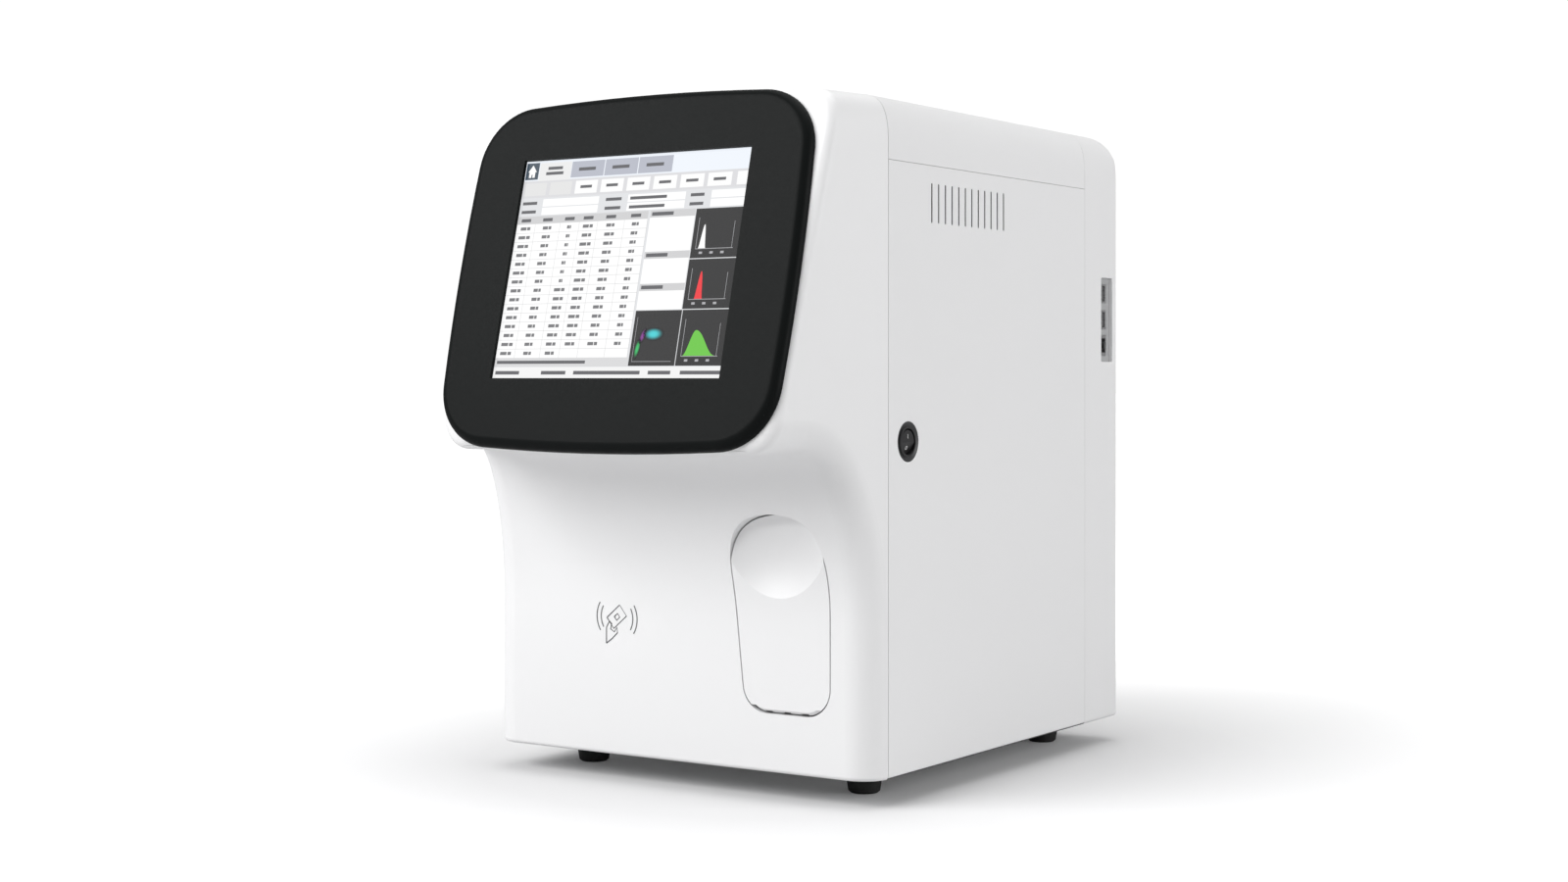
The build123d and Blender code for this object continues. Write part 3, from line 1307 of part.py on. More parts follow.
def power_supply():
    """The boxed power supply with louvred ends."""
    right = FRAME_IN - SUPPLY_SIDE
    left = right - SUPPLY_W
    box = between((left, right), (196, 296), (SHEET, 52))
    slots = [between((left - 1, left + 3), (206 + 9 * i, 210 + 9 * i), (12, 44)) for i in range(9)]
    return box - slots


def pieces():
    """Every node's name with its shape."""
    return {
        "front_cover": front_cover(),
        "top_cover": top_cover(),
        "side_panel_right": side_panel_right(),
        "side_panel_left": side_panel(-1),
        "rear_cover": rear_cover(),
        "base_pan": base_pan(),
        "chassis_frame": chassis_frame(),
        "mid_deck": mid_deck(),
        "rubber_feet": rubber_feet(),
        "foot_screws": foot_screws(),
        "cover_screws": cover_screws(),
        "display_bezel": display_bezel(),
        "touch_glass": touch_glass(),
        "display_module": display_module(),
        "sample_door": sample_door(),
        "door_hinge_pin": door_hinge_pin(),
        "sample_compartment": sample_compartment(),
        "tube_cradle": tube_cradle(),
        "tube_adapter": tube_adapter(),
        "power_switch_body": power_switch_body(),
        "power_rocker": power_rocker(),
        "port_plate": port_plate(),
        "usb_sockets": usb_sockets(),
        "network_socket": network_socket(),
        "power_inlet": power_inlet(),
        "fuse_drawer": fuse_drawer(),
        "ground_stud": ground_stud(),
        "fan_frame": fan_frame(),
        "fan_rotor": fan_rotor(),
        "fan_guard": fan_guard(),
        "fitting_plate": fitting_plate(),
        "fluid_fittings": fluid_fittings(),
        "gantry_plate": gantry_plate(),
        "gantry_rail": gantry_rail(),
        "gantry_motor": gantry_motor(),
        "drive_pulley": drive_pulley(),
        "idler_pulley": idler_pulley(),
        "gantry_belt": gantry_belt(),
        "carriage": carriage(),
        "probe_motor": probe_motor(),
        "probe_screw": probe_screw(),
        "probe_holder": probe_holder(),
        "sampling_probe": sampling_probe(),
        "rinse_block": rinse_block(),
        "counting_baths": counting_baths(),
        "bath_bracket": bath_bracket(),
        "syringe_bracket": syringe_bracket(),
        "syringe_barrels": syringe_barrels(),
        "syringe_plunger_a": syringe_plunger(0),
        "syringe_plunger_b": syringe_plunger(1),
        "syringe_motors": syringe_motors(),
        "valve_manifold": valve_manifold(),
        "solenoid_valves": solenoid_valves(),
        "vacuum_chamber": vacuum_chamber(),
        "air_pump": air_pump(),
        "waste_pump_body": waste_pump_body(),
        "waste_pump_rotor": waste_pump_rotor(),
        "optical_bench": optical_bench(),
        "main_board": main_board(),
        "power_supply": power_supply(),
    }


def solids_of(shape):
    """The separate solids of a shape or of a list of shapes."""
    if isinstance(shape, (list, tuple)):
        return [solid for item in shape for solid in item.solids()]
    return list(shape.solids())


NODES = {name: Compound(children=solids_of(shape)) for name, shape in pieces().items()}
BOXES = [node.bounding_box() for node in NODES.values()]
MID_Y = (min(box.min.Y for box in BOXES) + max(box.max.Y for box in BOXES)) / 2
PLACE = Pos(0, -MID_Y, FOOT_H)

os.makedirs("parts", exist_ok=True)
for name, node in NODES.items():
    export_step(PLACE * node, f"parts/{name}.step")
print("pieces", len(NODES), "middle", round(MID_Y, 3))
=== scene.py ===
from math import cos, pi, radians, sin

import bpy
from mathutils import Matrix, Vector


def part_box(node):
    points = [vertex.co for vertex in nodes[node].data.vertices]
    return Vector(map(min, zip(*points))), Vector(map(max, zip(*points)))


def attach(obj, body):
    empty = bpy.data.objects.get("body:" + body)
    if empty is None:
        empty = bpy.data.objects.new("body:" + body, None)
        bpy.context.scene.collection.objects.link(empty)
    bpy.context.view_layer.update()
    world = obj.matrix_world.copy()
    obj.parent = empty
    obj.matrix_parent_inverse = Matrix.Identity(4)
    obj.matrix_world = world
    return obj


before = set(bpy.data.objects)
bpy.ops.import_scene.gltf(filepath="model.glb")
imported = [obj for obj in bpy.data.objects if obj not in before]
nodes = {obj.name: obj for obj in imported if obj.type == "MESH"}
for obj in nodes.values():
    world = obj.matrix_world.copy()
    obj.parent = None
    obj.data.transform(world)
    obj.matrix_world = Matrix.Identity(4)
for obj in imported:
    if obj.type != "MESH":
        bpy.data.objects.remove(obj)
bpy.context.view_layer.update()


# Camera
# A normal lens at half the case's height, turned to its right side, as the instrument is
# photographed for a catalogue: upright edges stay upright.
camera = bpy.data.objects.new("camera", bpy.data.cameras.new("camera"))
camera.data.lens = 52.4
camera.data.shift_y = -0.04125
camera.location = (1.00504, -1.517943, 0.305)
camera.rotation_euler = (radians(90), 0, radians(33.64))
bpy.context.scene.collection.objects.link(camera)
bpy.context.scene.camera = camera


# Floor
# A pale matte studio floor that runs out of sight under an even white surround. It glows
# for the camera alone, weakly near the feet, so their contact shadow stays.
def mesh_object(name, points, faces, material, smooth=False):
    mesh = bpy.data.meshes.new(name)
    mesh.from_pydata(points, [], faces)
    mesh.update()
    if smooth:
        mesh.polygons.foreach_set("use_smooth", [True] * len(faces))
    thing = bpy.data.objects.new(name, mesh)
    thing.data.materials.append(material)
    bpy.context.scene.collection.objects.link(thing)
    return thing


def new_material(name):
    material = bpy.data.materials.new(name)
    material.use_nodes = True
    return material, material.node_tree, material.node_tree.nodes["Principled BSDF"]


floor_material, floor_tree, floor_shader = new_material("studio floor")
floor_shade = floor_tree.nodes.new("ShaderNodeMix")
floor_shade.data_type = "RGBA"
floor_shade.inputs["A"].default_value = (0.6, 0.6, 0.605, 1)
floor_shade.inputs["B"].default_value = (0.8, 0.8, 0.805, 1)
floor_shader.inputs["Roughness"].default_value = 0.7
floor_shader.inputs["Specular IOR Level"].default_value = 0.1
floor_shader.inputs["Emission Color"].default_value = (1, 1, 1, 1)
floor_place = floor_tree.nodes.new("ShaderNodeTexCoord")
floor_far = floor_tree.nodes.new("ShaderNodeVectorMath")
floor_far.operation = "LENGTH"
floor_glow = floor_tree.nodes.new("ShaderNodeMapRange")
floor_glow.inputs["From Min"].default_value = 0.25
floor_glow.inputs["From Max"].default_value = 1.1
floor_glow.inputs["To Min"].default_value = 0.05
floor_glow.inputs["To Max"].default_value = 0.85
floor_sight = floor_tree.nodes.new("ShaderNodeLightPath")
floor_seen = floor_tree.nodes.new("ShaderNodeMath")
floor_seen.operation = "MULTIPLY"
floor_tree.links.new(floor_sight.outputs["Is Camera Ray"], floor_shade.inputs["Factor"])
floor_tree.links.new(floor_shade.outputs["Result"], floor_shader.inputs["Base Color"])
floor_tree.links.new(floor_place.outputs["Object"], floor_far.inputs[0])
floor_tree.links.new(floor_far.outputs["Value"], floor_glow.inputs["Value"])
floor_tree.links.new(floor_glow.outputs["Result"], floor_seen.inputs[0])
floor_tree.links.new(floor_sight.outputs["Is Camera Ray"], floor_seen.inputs[1])
floor_tree.links.new(floor_seen.outputs["Value"], floor_shader.inputs["Emission Strength"])
reach = 40.0
floor = mesh_object(
    "floor",
    [(-reach, -reach, 0), (reach, -reach, 0), (reach, reach, 0), (-reach, reach, 0)],
    [(0, 1, 2, 3)],
    floor_material,
)


# Light
# An even white surround that lights less than it shows, a broad soft key from the front
# left and above, and a weak card on the right that leaves the side panel a shade darker.
bpy.context.scene.view_settings.view_transform = "Standard"
world = bpy.data.worlds.new("surround")
world.use_nodes = True
sky = world.node_tree.nodes["Background"]
sky.inputs["Color"].default_value = (1, 1, 1, 1)
sight = world.node_tree.nodes.new("ShaderNodeLightPath")
brightness = world.node_tree.nodes.new("ShaderNodeMapRange")
brightness.inputs["To Min"].default_value = 0.36
brightness.inputs["To Max"].default_value = 1.05
world.node_tree.links.new(sight.outputs["Is Camera Ray"], brightness.inputs["Value"])
world.node_tree.links.new(brightness.outputs["Result"], sky.inputs["Strength"])
bpy.context.scene.world = world


def soft_light(name, place, target, width, height, power):
    light = bpy.data.lights.new(name, "AREA")
    light.shape = "RECTANGLE"
    light.size = width
    light.size_y = height
    light.energy = power
    thing = bpy.data.objects.new(name, light)
    thing.location = place
    thing.rotation_euler = (Vector(target) - Vector(place)).to_track_quat("-Z", "Y").to_euler()
    bpy.context.scene.collection.objects.link(thing)


soft_light("key", (-1.4, -2.4, 1.9), (0, -0.1, 0.25), 2.4, 1.8, 86)
soft_light("top", (0.2, 0.2, 2.6), (0, 0, 0.3), 2.2, 2.2, 24)
soft_light("side", (2.8, 0.6, 0.9), (0, 0, 0.25), 1.6, 1.6, 30)


# White covers
# The front, the roof, both sides, the back and the sample door are injection moulded in
# white ABS with a fine spark-eroded grain, and are screwed to the frame from behind.
def new_group(name, inputs, outputs):
    tree = bpy.data.node_groups.new(name, "ShaderNodeTree")
    for label, value in inputs.items():
        entry = tree.interface.new_socket(label, in_out="INPUT", socket_type="NodeSocketFloat")
        entry.default_value = value
    for label, kind in outputs.items():
        tree.interface.new_socket(label, in_out="OUTPUT", socket_type=kind)
    start = tree.nodes.new("NodeGroupInput")
    end = tree.nodes.new("NodeGroupOutput")
    return tree, start, end


grain_group, start, end = new_group(
    "Moulded grain",
    {"Scale": 900.0, "Depth": 0.1, "Roughness low": 0.4, "Roughness high": 0.5},
    {"Roughness": "NodeSocketFloat", "Normal": "NodeSocketVector"},
)
place = grain_group.nodes.new("ShaderNodeTexCoord")
noise = grain_group.nodes.new("ShaderNodeTexNoise")
noise.inputs["Detail"].default_value = 3.0
spread = grain_group.nodes.new("ShaderNodeMapRange")
spread.inputs["From Min"].default_value = 0.35
spread.inputs["From Max"].default_value = 0.65
bump = grain_group.nodes.new("ShaderNodeBump")
bump.inputs["Distance"].default_value = 0.0002
link = grain_group.links.new
link(place.outputs["Object"], noise.inputs["Vector"])
link(start.outputs["Scale"], noise.inputs["Scale"])
link(noise.outputs["Fac"], spread.inputs["Value"])
link(start.outputs["Roughness low"], spread.inputs["To Min"])
link(start.outputs["Roughness high"], spread.inputs["To Max"])
link(noise.outputs["Fac"], bump.inputs["Height"])
link(start.outputs["Depth"], bump.inputs["Strength"])
link(spread.outputs["Result"], end.inputs["Roughness"])
link(bump.outputs["Normal"], end.inputs["Normal"])


def add_grain(tree, shader, scale, depth, low, high):
    grain = tree.nodes.new("ShaderNodeGroup")
    grain.node_tree = grain_group
    grain.inputs["Scale"].default_value = scale
    grain.inputs["Depth"].default_value = depth
    grain.inputs["Roughness low"].default_value = low
    grain.inputs["Roughness high"].default_value = high
    tree.links.new(grain.outputs["Roughness"], shader.inputs["Roughness"])
    tree.links.new(grain.outputs["Normal"], shader.inputs["Normal"])
    return grain


def plain_finish(name, colour, low, high, scale=900.0, depth=0.1, metallic=0.0):
    material, tree, shader = new_material(name)
    shader.inputs["Base Color"].default_value = (*colour, 1)
    shader.inputs["Metallic"].default_value = metallic
    add_grain(tree, shader, scale, depth, low, high)
    return material


def dress(material, *names):
    for name in names:
        nodes[name].data.materials.clear()
        nodes[name].data.materials.append(material)


white = (0.86, 0.86, 0.865)
white_plastic = plain_finish("white moulded plastic", white, 0.36, 0.46, 1400, 0.06)
dress(white_plastic, "front_cover", "top_cover", "rear_cover", "sample_door")


# Side panels with painted shade
# Both side panels are the same white plastic. Every face deeper than a thin outer skin, the
# inner face and the walls of the air slots, is painted near black as painted shade.
slot_shade_group, start, end = new_group(
    "Painted slot shade", {"Half width": 0.175, "Skin": 0.0004}, {"Coat": "NodeSocketFloat"}
)
place = slot_shade_group.nodes.new("ShaderNodeTexCoord")
split = slot_shade_group.nodes.new("ShaderNodeSeparateXYZ")
across = slot_shade_group.nodes.new("ShaderNodeMath")
across.operation = "ABSOLUTE"
edge = slot_shade_group.nodes.new("ShaderNodeMath")
edge.operation = "SUBTRACT"
inside = slot_shade_group.nodes.new("ShaderNodeMath")
inside.operation = "LESS_THAN"
link = slot_shade_group.links.new
link(place.outputs["Object"], split.inputs["Vector"])
link(split.outputs["X"], across.inputs[0])
link(start.outputs["Half width"], edge.inputs[0])
link(start.outputs["Skin"], edge.inputs[1])
link(across.outputs["Value"], inside.inputs[0])
link(edge.outputs["Value"], inside.inputs[1])
link(inside.outputs["Value"], end.inputs["Coat"])

side_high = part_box("side_panel_right")[1]
side_plastic_painted_shade = plain_finish("side plastic with painted slot shade", white, 0.36, 0.46, 1400, 0.06)
side_tree = side_plastic_painted_shade.node_tree
slot_shade = side_tree.nodes.new("ShaderNodeGroup")
slot_shade.node_tree = slot_shade_group
slot_shade.inputs["Half width"].default_value = side_high.x
slot_shade_colour = side_tree.nodes.new("ShaderNodeMix")
slot_shade_colour.data_type = "RGBA"
slot_shade_colour.inputs["A"].default_value = (*white, 1)
# Painted shade: the near black that keeps the inner faces and the air slots dark.
slot_shade_colour.inputs["B"].default_value = (0.03, 0.031, 0.033, 1)
side_tree.links.new(slot_shade.outputs["Coat"], slot_shade_colour.inputs["Factor"])
side_tree.links.new(slot_shade_colour.outputs["Result"], side_tree.nodes["Principled BSDF"].inputs["Base Color"])
dress(side_plastic_painted_shade, "side_panel_right", "side_panel_left")


# Display bezel
# A satin black frame moulded in polycarbonate, with a rounded rim, clipped into the front
# cover over the glass.
bezel_black = plain_finish("black bezel plastic", (0.006, 0.007, 0.007), 0.36, 0.44, 700, 0.02)
bezel_black.node_tree.nodes["Principled BSDF"].inputs["Specular IOR Level"].default_value = 0.05
dress(bezel_black, "display_bezel")


# Touch panel
# A sheet of hardened glass bonded to the display. The picture on it is light from the
# liquid-crystal panel behind, laid as flat fields a hair in front of the glass. Places on
# it are shares of the screen's width from the left and of its height from the top.
glass_dark = plain_finish("touch glass", (0.01, 0.011, 0.012), 0.05, 0.08, 300, 0.0)
dress(glass_dark, "touch_glass")

tilt = radians(13.8)
glass_thick = 0.0018
glass_lap = 0.0035
glass_low, glass_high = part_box("touch_glass")
screen_w = glass_high.x - glass_low.x - 2 * glass_lap
screen_h = (glass_high.z - glass_low.z - glass_thick * sin(tilt)) / cos(tilt) - 2 * glass_lap
screen_up = Vector((0, sin(tilt), cos(tilt)))
screen_out = Vector((0, -cos(tilt), sin(tilt)))
screen_top = Vector((glass_low.x + glass_lap, glass_low.y, glass_low.z + glass_thick * sin(tilt)))
screen_top += screen_up * (glass_lap + screen_h)


def lit_material(name, colour, strength=1.0):
    material, _, shader = new_material(name)
    shader.inputs["Base Color"].default_value = (0.01, 0.01, 0.01, 1)
    shader.inputs["Roughness"].default_value = 0.12
    shader.inputs["Specular IOR Level"].default_value = 0.08
    shader.inputs["Emission Color"].default_value = (*colour, 1)
    shader.inputs["Emission Strength"].default_value = strength
    return material


first_lift = 0.00004
layer_lift = 0.00003


def on_screen(u, v, lift):
    return screen_top + Vector((u * screen_w, 0, 0)) - screen_up * (v * screen_h) + screen_out * lift


def screen_fields(name, colour, outlines, layer, strength=1.0):
    points = []
    faces = []
    for outline in outlines:
        faces.append(tuple(range(len(points), len(points) + len(outline))))
        points += [on_screen(u, v, first_lift + layer_lift * layer) for u, v in outline]
    thing = mesh_object(name, points, faces, lit_material(name.replace("_", " "), colour, strength))
    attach(thing, "root")


def field(left, top, right, bottom):
    return [(left, top), (left, bottom), (right, bottom), (right, top)]


screen_fields("screen_ground", (0.72, 0.73, 0.75), [field(0, 0, 1, 1)], 0)
screen_fields("screen_header", (0.83, 0.87, 0.93), [field(0, 0, 1, 0.092)], 1)
screen_fields("screen_home_tile", (0.045, 0.07, 0.10), [field(0.003, 0.008, 0.062, 0.086)], 2)
screen_fields(
    "screen_home_sign",
    (0.95, 0.95, 0.95),
    [
        [(0.013, 0.05), (0.052, 0.05), (0.0325, 0.018)],
        field(0.019, 0.05, 0.030, 0.076),
        field(0.035, 0.05, 0.046, 0.076),
        field(0.030, 0.05, 0.035, 0.062),
    ],
    3,
)
tab_edges = (0.212, 0.364, 0.514, 0.666)
screen_fields("screen_open_tab", (0.80, 0.80, 0.80), [field(0.066, 0.01, 0.212, 0.094)], 2)
screen_fields(
    "screen_tabs",
    (0.45, 0.47, 0.54),
    [field(a + 0.002, 0.012, b - 0.002, 0.086) for a, b in zip(tab_edges, tab_edges[1:])],
    2,
)
screen_fields("screen_toolbar", (0.68, 0.68, 0.70), [field(0, 0.094, 1, 0.172)], 1)
buttons = [(0.010 + 0.1165 * i, 0.110 + 0.1165 * i) for i in range(8)]
screen_fields(
    "screen_dim_buttons",
    (0.74, 0.74, 0.74),
    [field(a, 0.103, b, 0.162) for a, b in buttons[:2]],
    2,
)
screen_fields(
    "screen_buttons",
    (0.93, 0.93, 0.93),
    [field(a, 0.103, b, 0.162) for a, b in buttons[2:]] + [field(0.948, 0.103, 0.992, 0.162)],
    2,
)
screen_fields(
    "screen_entries",
    (0.97, 0.97, 0.97),
    [
        field(0.105, 0.180, 0.360, 0.214),
        field(0.105, 0.219, 0.360, 0.253),
        field(0.490, 0.180, 0.740, 0.214),
        field(0.490, 0.219, 0.740, 0.253),
        field(0.850, 0.180, 0.990, 0.214),
        field(0.850, 0.219, 0.990, 0.253),
    ],
    2,
)
table_top, table_end, rows = 0.294, 0.905, 15
row_h = (table_end - table_top) / rows
columns = (0.0, 0.085, 0.200, 0.287, 0.370, 0.489, 0.590)
screen_fields("screen_table", (0.95, 0.95, 0.95), [field(0, table_top, 0.590, table_end)], 2)
screen_fields(
    "screen_headings",
    (0.60, 0.60, 0.61),
    [
        field(0, 0.258, 0.590, table_top),
        field(0.600, 0.258, 0.792, 0.290),
        field(0.600, 0.442, 0.792, 0.474),
        field(0.600, 0.584, 0.792, 0.616),
    ],
    3,
)
screen_fields(
    "screen_messages",
    (0.96, 0.96, 0.96),
    [
        field(0.600, 0.290, 0.792, 0.442),
        field(0.600, 0.474, 0.792, 0.584),
        field(0.600, 0.616, 0.792, 0.698),
    ],
    2,
)
row_line, column_line = 0.0016, 0.0013
row_tops = [table_top + i * row_h for i in range(1, rows)]
grid = [field(0, top, columns[-1], top + row_line) for top in row_tops]
grid += [field(left, table_top, left + column_line, table_end) for left in columns[1:]]
screen_fields("screen_grid", (0.55, 0.55, 0.56), grid, 3)
word_shares = (0.62, 0.34, 0.22, 0.60, 0.36, 0.30)
marks = []
for row in range(rows):
    v = table_top + (row + 0.32) * row_h
    for column in range(6):
        left, right = columns[column], columns[column + 1]
        share = word_shares[column]
        if row > 6 and column == 2:
            share = 0.55
        if row == rows - 1 and column > 2:
            continue
        middle = (left + right) / 2
        half = (right - left) * share * (0.85 + 0.15 * ((row * 7 + column * 3) % 4) / 3) / 2
        marks.append(field(middle - half, v, middle + half * 0.2, v + 0.36 * row_h))
        marks.append(field(middle + half * 0.35, v, middle + half, v + 0.36 * row_h))
screen_fields("screen_readings", (0.16, 0.16, 0.17), marks, 4)
heads = []
for left, right in zip(columns, columns[1:]):
    middle = (left + right) / 2
    heads.append(field(middle - 0.024, 0.269, middle + 0.020, 0.284))
heads += [field(0.607, v, 0.700, v + 0.016) for v in (0.266, 0.450, 0.592)]
heads += [field(0.105, 0.030, 0.172, 0.044), field(0.098, 0.054, 0.178, 0.068)]
for left, right in zip(tab_edges, tab_edges[1:]):
    middle = (left + right) / 2
    heads.append(field(middle - 0.040, 0.042, middle + 0.036, 0.057))
heads += [field((a + b) / 2 - 0.026, 0.125, (a + b) / 2 + 0.026, 0.138) for a, b in buttons[2:]]
heads += [field(0.012, v, 0.078, v + 0.014) for v in (0.190, 0.230)]
heads += [field(0.392, v, 0.462, v + 0.014) for v in (0.190, 0.230)]
heads += [field(0.500, 0.190, 0.660, 0.204), field(0.500, 0.230, 0.655, 0.244)]
heads += [field(0.762, v, 0.820, v + 0.014) for v in (0.190, 0.230)]
heads += [field(0.010, 0.918, 0.410, 0.932)]
screen_fields("screen_headings_marks", (0.10, 0.10, 0.11), heads, 5)
screen_fields("screen_footer", (0.66, 0.66, 0.67), [field(0, 0.905, 0.598, 0.945)], 2)
screen_fields("screen_status", (0.86, 0.86, 0.86), [field(0, 0.947, 1, 1)], 2)
status = [(0.010, 0.120), (0.220, 0.330), (0.365, 0.655), (0.690, 0.785), (0.825, 0.990)]
screen_fields("screen_status_marks", (0.10, 0.10, 0.11), [field(a, 0.964, b, 0.980) for a, b in status], 4)
plots = [(0.796, 0.260, 1.0, 0.478), (0.796, 0.482, 1.0, 0.698), (0.800, 0.702, 1.0, 0.943)]
screen_fields(
    "screen_plots",
    (0.004, 0.004, 0.005),
    [field(*plot) for plot in plots] + [field(0.600, 0.702, 0.797, 0.943)],
    3,
)


def hill(left, right, base, peak, middle, sharp):
    steps = 24
    top = []
    for i in range(steps + 1):
        u = left + (right - left) * i / steps
        side = (u - middle) / ((middle - left) if u < middle else (right - middle))
        top.append((u, base - (base - peak) * (1 - side * side) ** sharp))
    return [(left, base)] + top[1:-1] + [(right, base)]


axes = []
for left, top, right, bottom in plots:
    axes.append(field(left + 0.018, bottom - 0.042, right - 0.030, bottom - 0.0395))
    axes.append(field(left + 0.018, top + 0.040, left + 0.0198, bottom - 0.0395))
    axes.append(field(right - 0.036, top + 0.060, right - 0.0345, bottom - 0.0395))
    for i in range(3):
        u = left + 0.035 + i * 0.045
        axes.append(field(u, bottom - 0.028, u + 0.014, bottom - 0.018))
axes.append(field(0.612, 0.730, 0.6135, 0.925))
axes.append(field(0.612, 0.923, 0.780, 0.925))
screen_fields("screen_axes", (0.42, 0.42, 0.44), axes, 4)
screen_fields("screen_peak_white", (0.95, 0.95, 0.95), [hill(0.824, 0.856, 0.4355, 0.330, 0.842, 2.2)], 5)
screen_fields("screen_peak_red", (0.85, 0.02, 0.03), [hill(0.838, 0.872, 0.6555, 0.535, 0.856, 1.8)], 5)
screen_fields("screen_peak_green", (0.13, 0.55, 0.04), [hill(0.822, 0.962, 0.9005, 0.790, 0.868, 2.6)], 5)


def cloud_material(name, colour, strength):
    material, tree, shader = new_material(name)
    shader.inputs["Base Color"].default_value = (0.004, 0.004, 0.005, 1)
    shader.inputs["Roughness"].default_value = 0.12
    shader.inputs["Specular IOR Level"].default_value = 0.08
    shader.inputs["Emission Color"].default_value = (*colour, 1)
    place = tree.nodes.new("ShaderNodeUVMap")
    length = tree.nodes.new("ShaderNodeVectorMath")
    length.operation = "LENGTH"
    fade = tree.nodes.new("ShaderNodeMapRange")
    fade.interpolation_type = "SMOOTHERSTEP"
    fade.inputs["From Min"].default_value = 1.0
    fade.inputs["From Max"].default_value = 0.1
    fade.inputs["To Max"].default_value = strength
    tree.links.new(place.outputs["UV"], length.inputs[0])
    tree.links.new(length.outputs["Value"], fade.inputs["Value"])
    tree.links.new(fade.outputs["Result"], shader.inputs["Emission Strength"])
    return material


def cloud(name, u, v, half_u, half_v, lean, colour, strength):
    points = []
    turns = 40
    lift = first_lift + 5 * layer_lift
    for i in range(turns):
        angle = 2 * pi * i / turns
        du, dv = half_u * cos(angle), half_v * sin(angle)
        across = du * cos(lean) - dv * sin(lean)
        down = du * sin(lean) + dv * cos(lean)
        points.append(on_screen(u + across, v + down, lift))
    points.append(on_screen(u, v, lift))
    faces = [(turns, (i + 1) % turns, i) for i in range(turns)]
    thing = mesh_object(name, points, faces, cloud_material(name.replace("_", " "), colour, strength))
    uv = thing.data.uv_layers.new(name="cloud")
    for loop in thing.data.loops:
        i = loop.vertex_index
        rim = 0.0 if i == turns else 1.0
        uv.data[loop.index].uv = (rim * cos(2 * pi * i / turns), rim * sin(2 * pi * i / turns))
    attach(thing, "root")


cloud("screen_cloud_cyan", 0.690, 0.805, 0.045, 0.030, 0.0, (0.05, 0.62, 0.66), 1.0)
cloud("screen_cloud_green", 0.629, 0.868, 0.012, 0.046, 0.12, (0.03, 0.55, 0.14), 0.9)
cloud("screen_cloud_violet", 0.645, 0.812, 0.012, 0.036, 0.25, (0.30, 0.05, 0.36), 0.8)


# Contactless sign
# The sign of a hand holding a card between two pairs of waves, pad printed in thin grey
# lines on the front; it shows where a reagent card is held to be read.
print_grey = plain_finish("grey pad print", (0.09, 0.09, 0.095), 0.5, 0.6, 900, 0.0)
front_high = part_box("front_cover")[1]


print_lift = 0.00012


def printed_line(name, path, width):
    points = []
    faces = []
    for i in range(len(path)):
        before = Vector(path[max(i - 1, 0)])
        after = Vector(path[min(i + 1, len(path) - 1)])
        along = (after - before).normalized()
        side = Vector((-along.y, along.x)) * width / 2
        for end_point in (Vector(path[i]) + side, Vector(path[i]) - side):
            points.append((end_point.x, sign_y - print_lift, end_point.y))
    for i in range(len(path) - 1):
        faces.append((2 * i, 2 * i + 1, 2 * i + 3, 2 * i + 2))
    thing = mesh_object(name, points, faces, print_grey)
    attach(thing, "root")


def wave(x, z, radius, start_turn, end_turn):
    steps = 14
    turns = [start_turn + (end_turn - start_turn) * i / steps for i in range(steps + 1)]
    return [(x + radius * cos(radians(t)), z + radius * sin(radians(t))) for t in turns]


sign_x, sign_z = -0.053, 0.122
front_depth = 0.0255
sign_y = front_high.y - front_depth
line_w = 0.0009
card = [(-0.008, 0.001), (0.004, 0.011), (0.0105, 0.003), (-0.0015, -0.007), (-0.008, 0.001)]
chip = [(-0.001, 0.002), (0.002, 0.0045), (0.0042, 0.0018), (0.0012, -0.0007), (-0.001, 0.002)]
hand = [
    (-0.0085, -0.0185),
    (-0.0085, -0.0065),
    (-0.0055, -0.0015),
    (-0.0035, -0.0035),
    (-0.0045, -0.0075),
    (-0.0010, -0.0095),
    (0.0015, -0.0060),
    (0.0020, -0.0100),
    (-0.0035, -0.0150),
    (-0.0085, -0.0185),
]
for label, path in (("card", card), ("chip", chip), ("hand", hand)):
    printed_line(f"sign_{label}", [(sign_x + x, sign_z + z) for x, z in path], line_w)
printed_line("sign_wave_left_near", wave(sign_x + 0.002, sign_z + 0.002, 0.0155, 150, 212), line_w)
printed_line("sign_wave_left_far", wave(sign_x + 0.002, sign_z + 0.002, 0.0195, 148, 214), line_w)
printed_line("sign_wave_right_near", wave(sign_x + 0.001, sign_z + 0.001, 0.0155, -32, 30), line_w)
printed_line("sign_wave_right_far", wave(sign_x + 0.001, sign_z + 0.001, 0.0195, -34, 32), line_w)


# Power switch
# A round snap-in rocker switch in black nylon, with the usual ring and bar for off and on
# painted on its two halves.
switch_black = plain_finish("black nylon", (0.014, 0.014, 0.015), 0.3, 0.42, 1200, 0.08)
dress(switch_black, "power_switch_body", "power_rocker")
mark_white = plain_finish("white marking paint", (0.75, 0.75, 0.75), 0.5, 0.6, 900, 0.0)
rocker_low, rocker_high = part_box("power_rocker")
half_tilt = radians(20)
crease_x = rocker_high.x - 0.00005
rocker_y = (rocker_low.y + rocker_high.y) / 2
crease_drop = 0.00052
crease_z = (rocker_low.z + rocker_high.z) / 2 - crease_drop
paint_lift = 0.00012
mark_reach = 0.0042


def rocker_mark(name, loops, distance, lean):
    up = Vector((sin(lean), 0, cos(lean)))
    out = Vector((cos(lean), 0, -sin(lean)))
    middle = Vector((crease_x, rocker_y, crease_z)) + up * distance + out * paint_lift
    points = []
    faces = []
    for i in range(len(loops[0])):
        for loop in loops:
            side, rise = loop[i]
            points.append(middle + Vector((0, side, 0)) + up * rise)
    count = len(loops[0])
    for i in range(count):
        after = (i + 1) % count
        faces.append((2 * i, 2 * i + 1, 2 * after + 1, 2 * after))
    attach(mesh_object(name, points, faces, mark_white), "rocker")


def round_loop(radius):
    return [(radius * cos(2 * pi * i / 32), radius * sin(2 * pi * i / 32)) for i in range(32)]


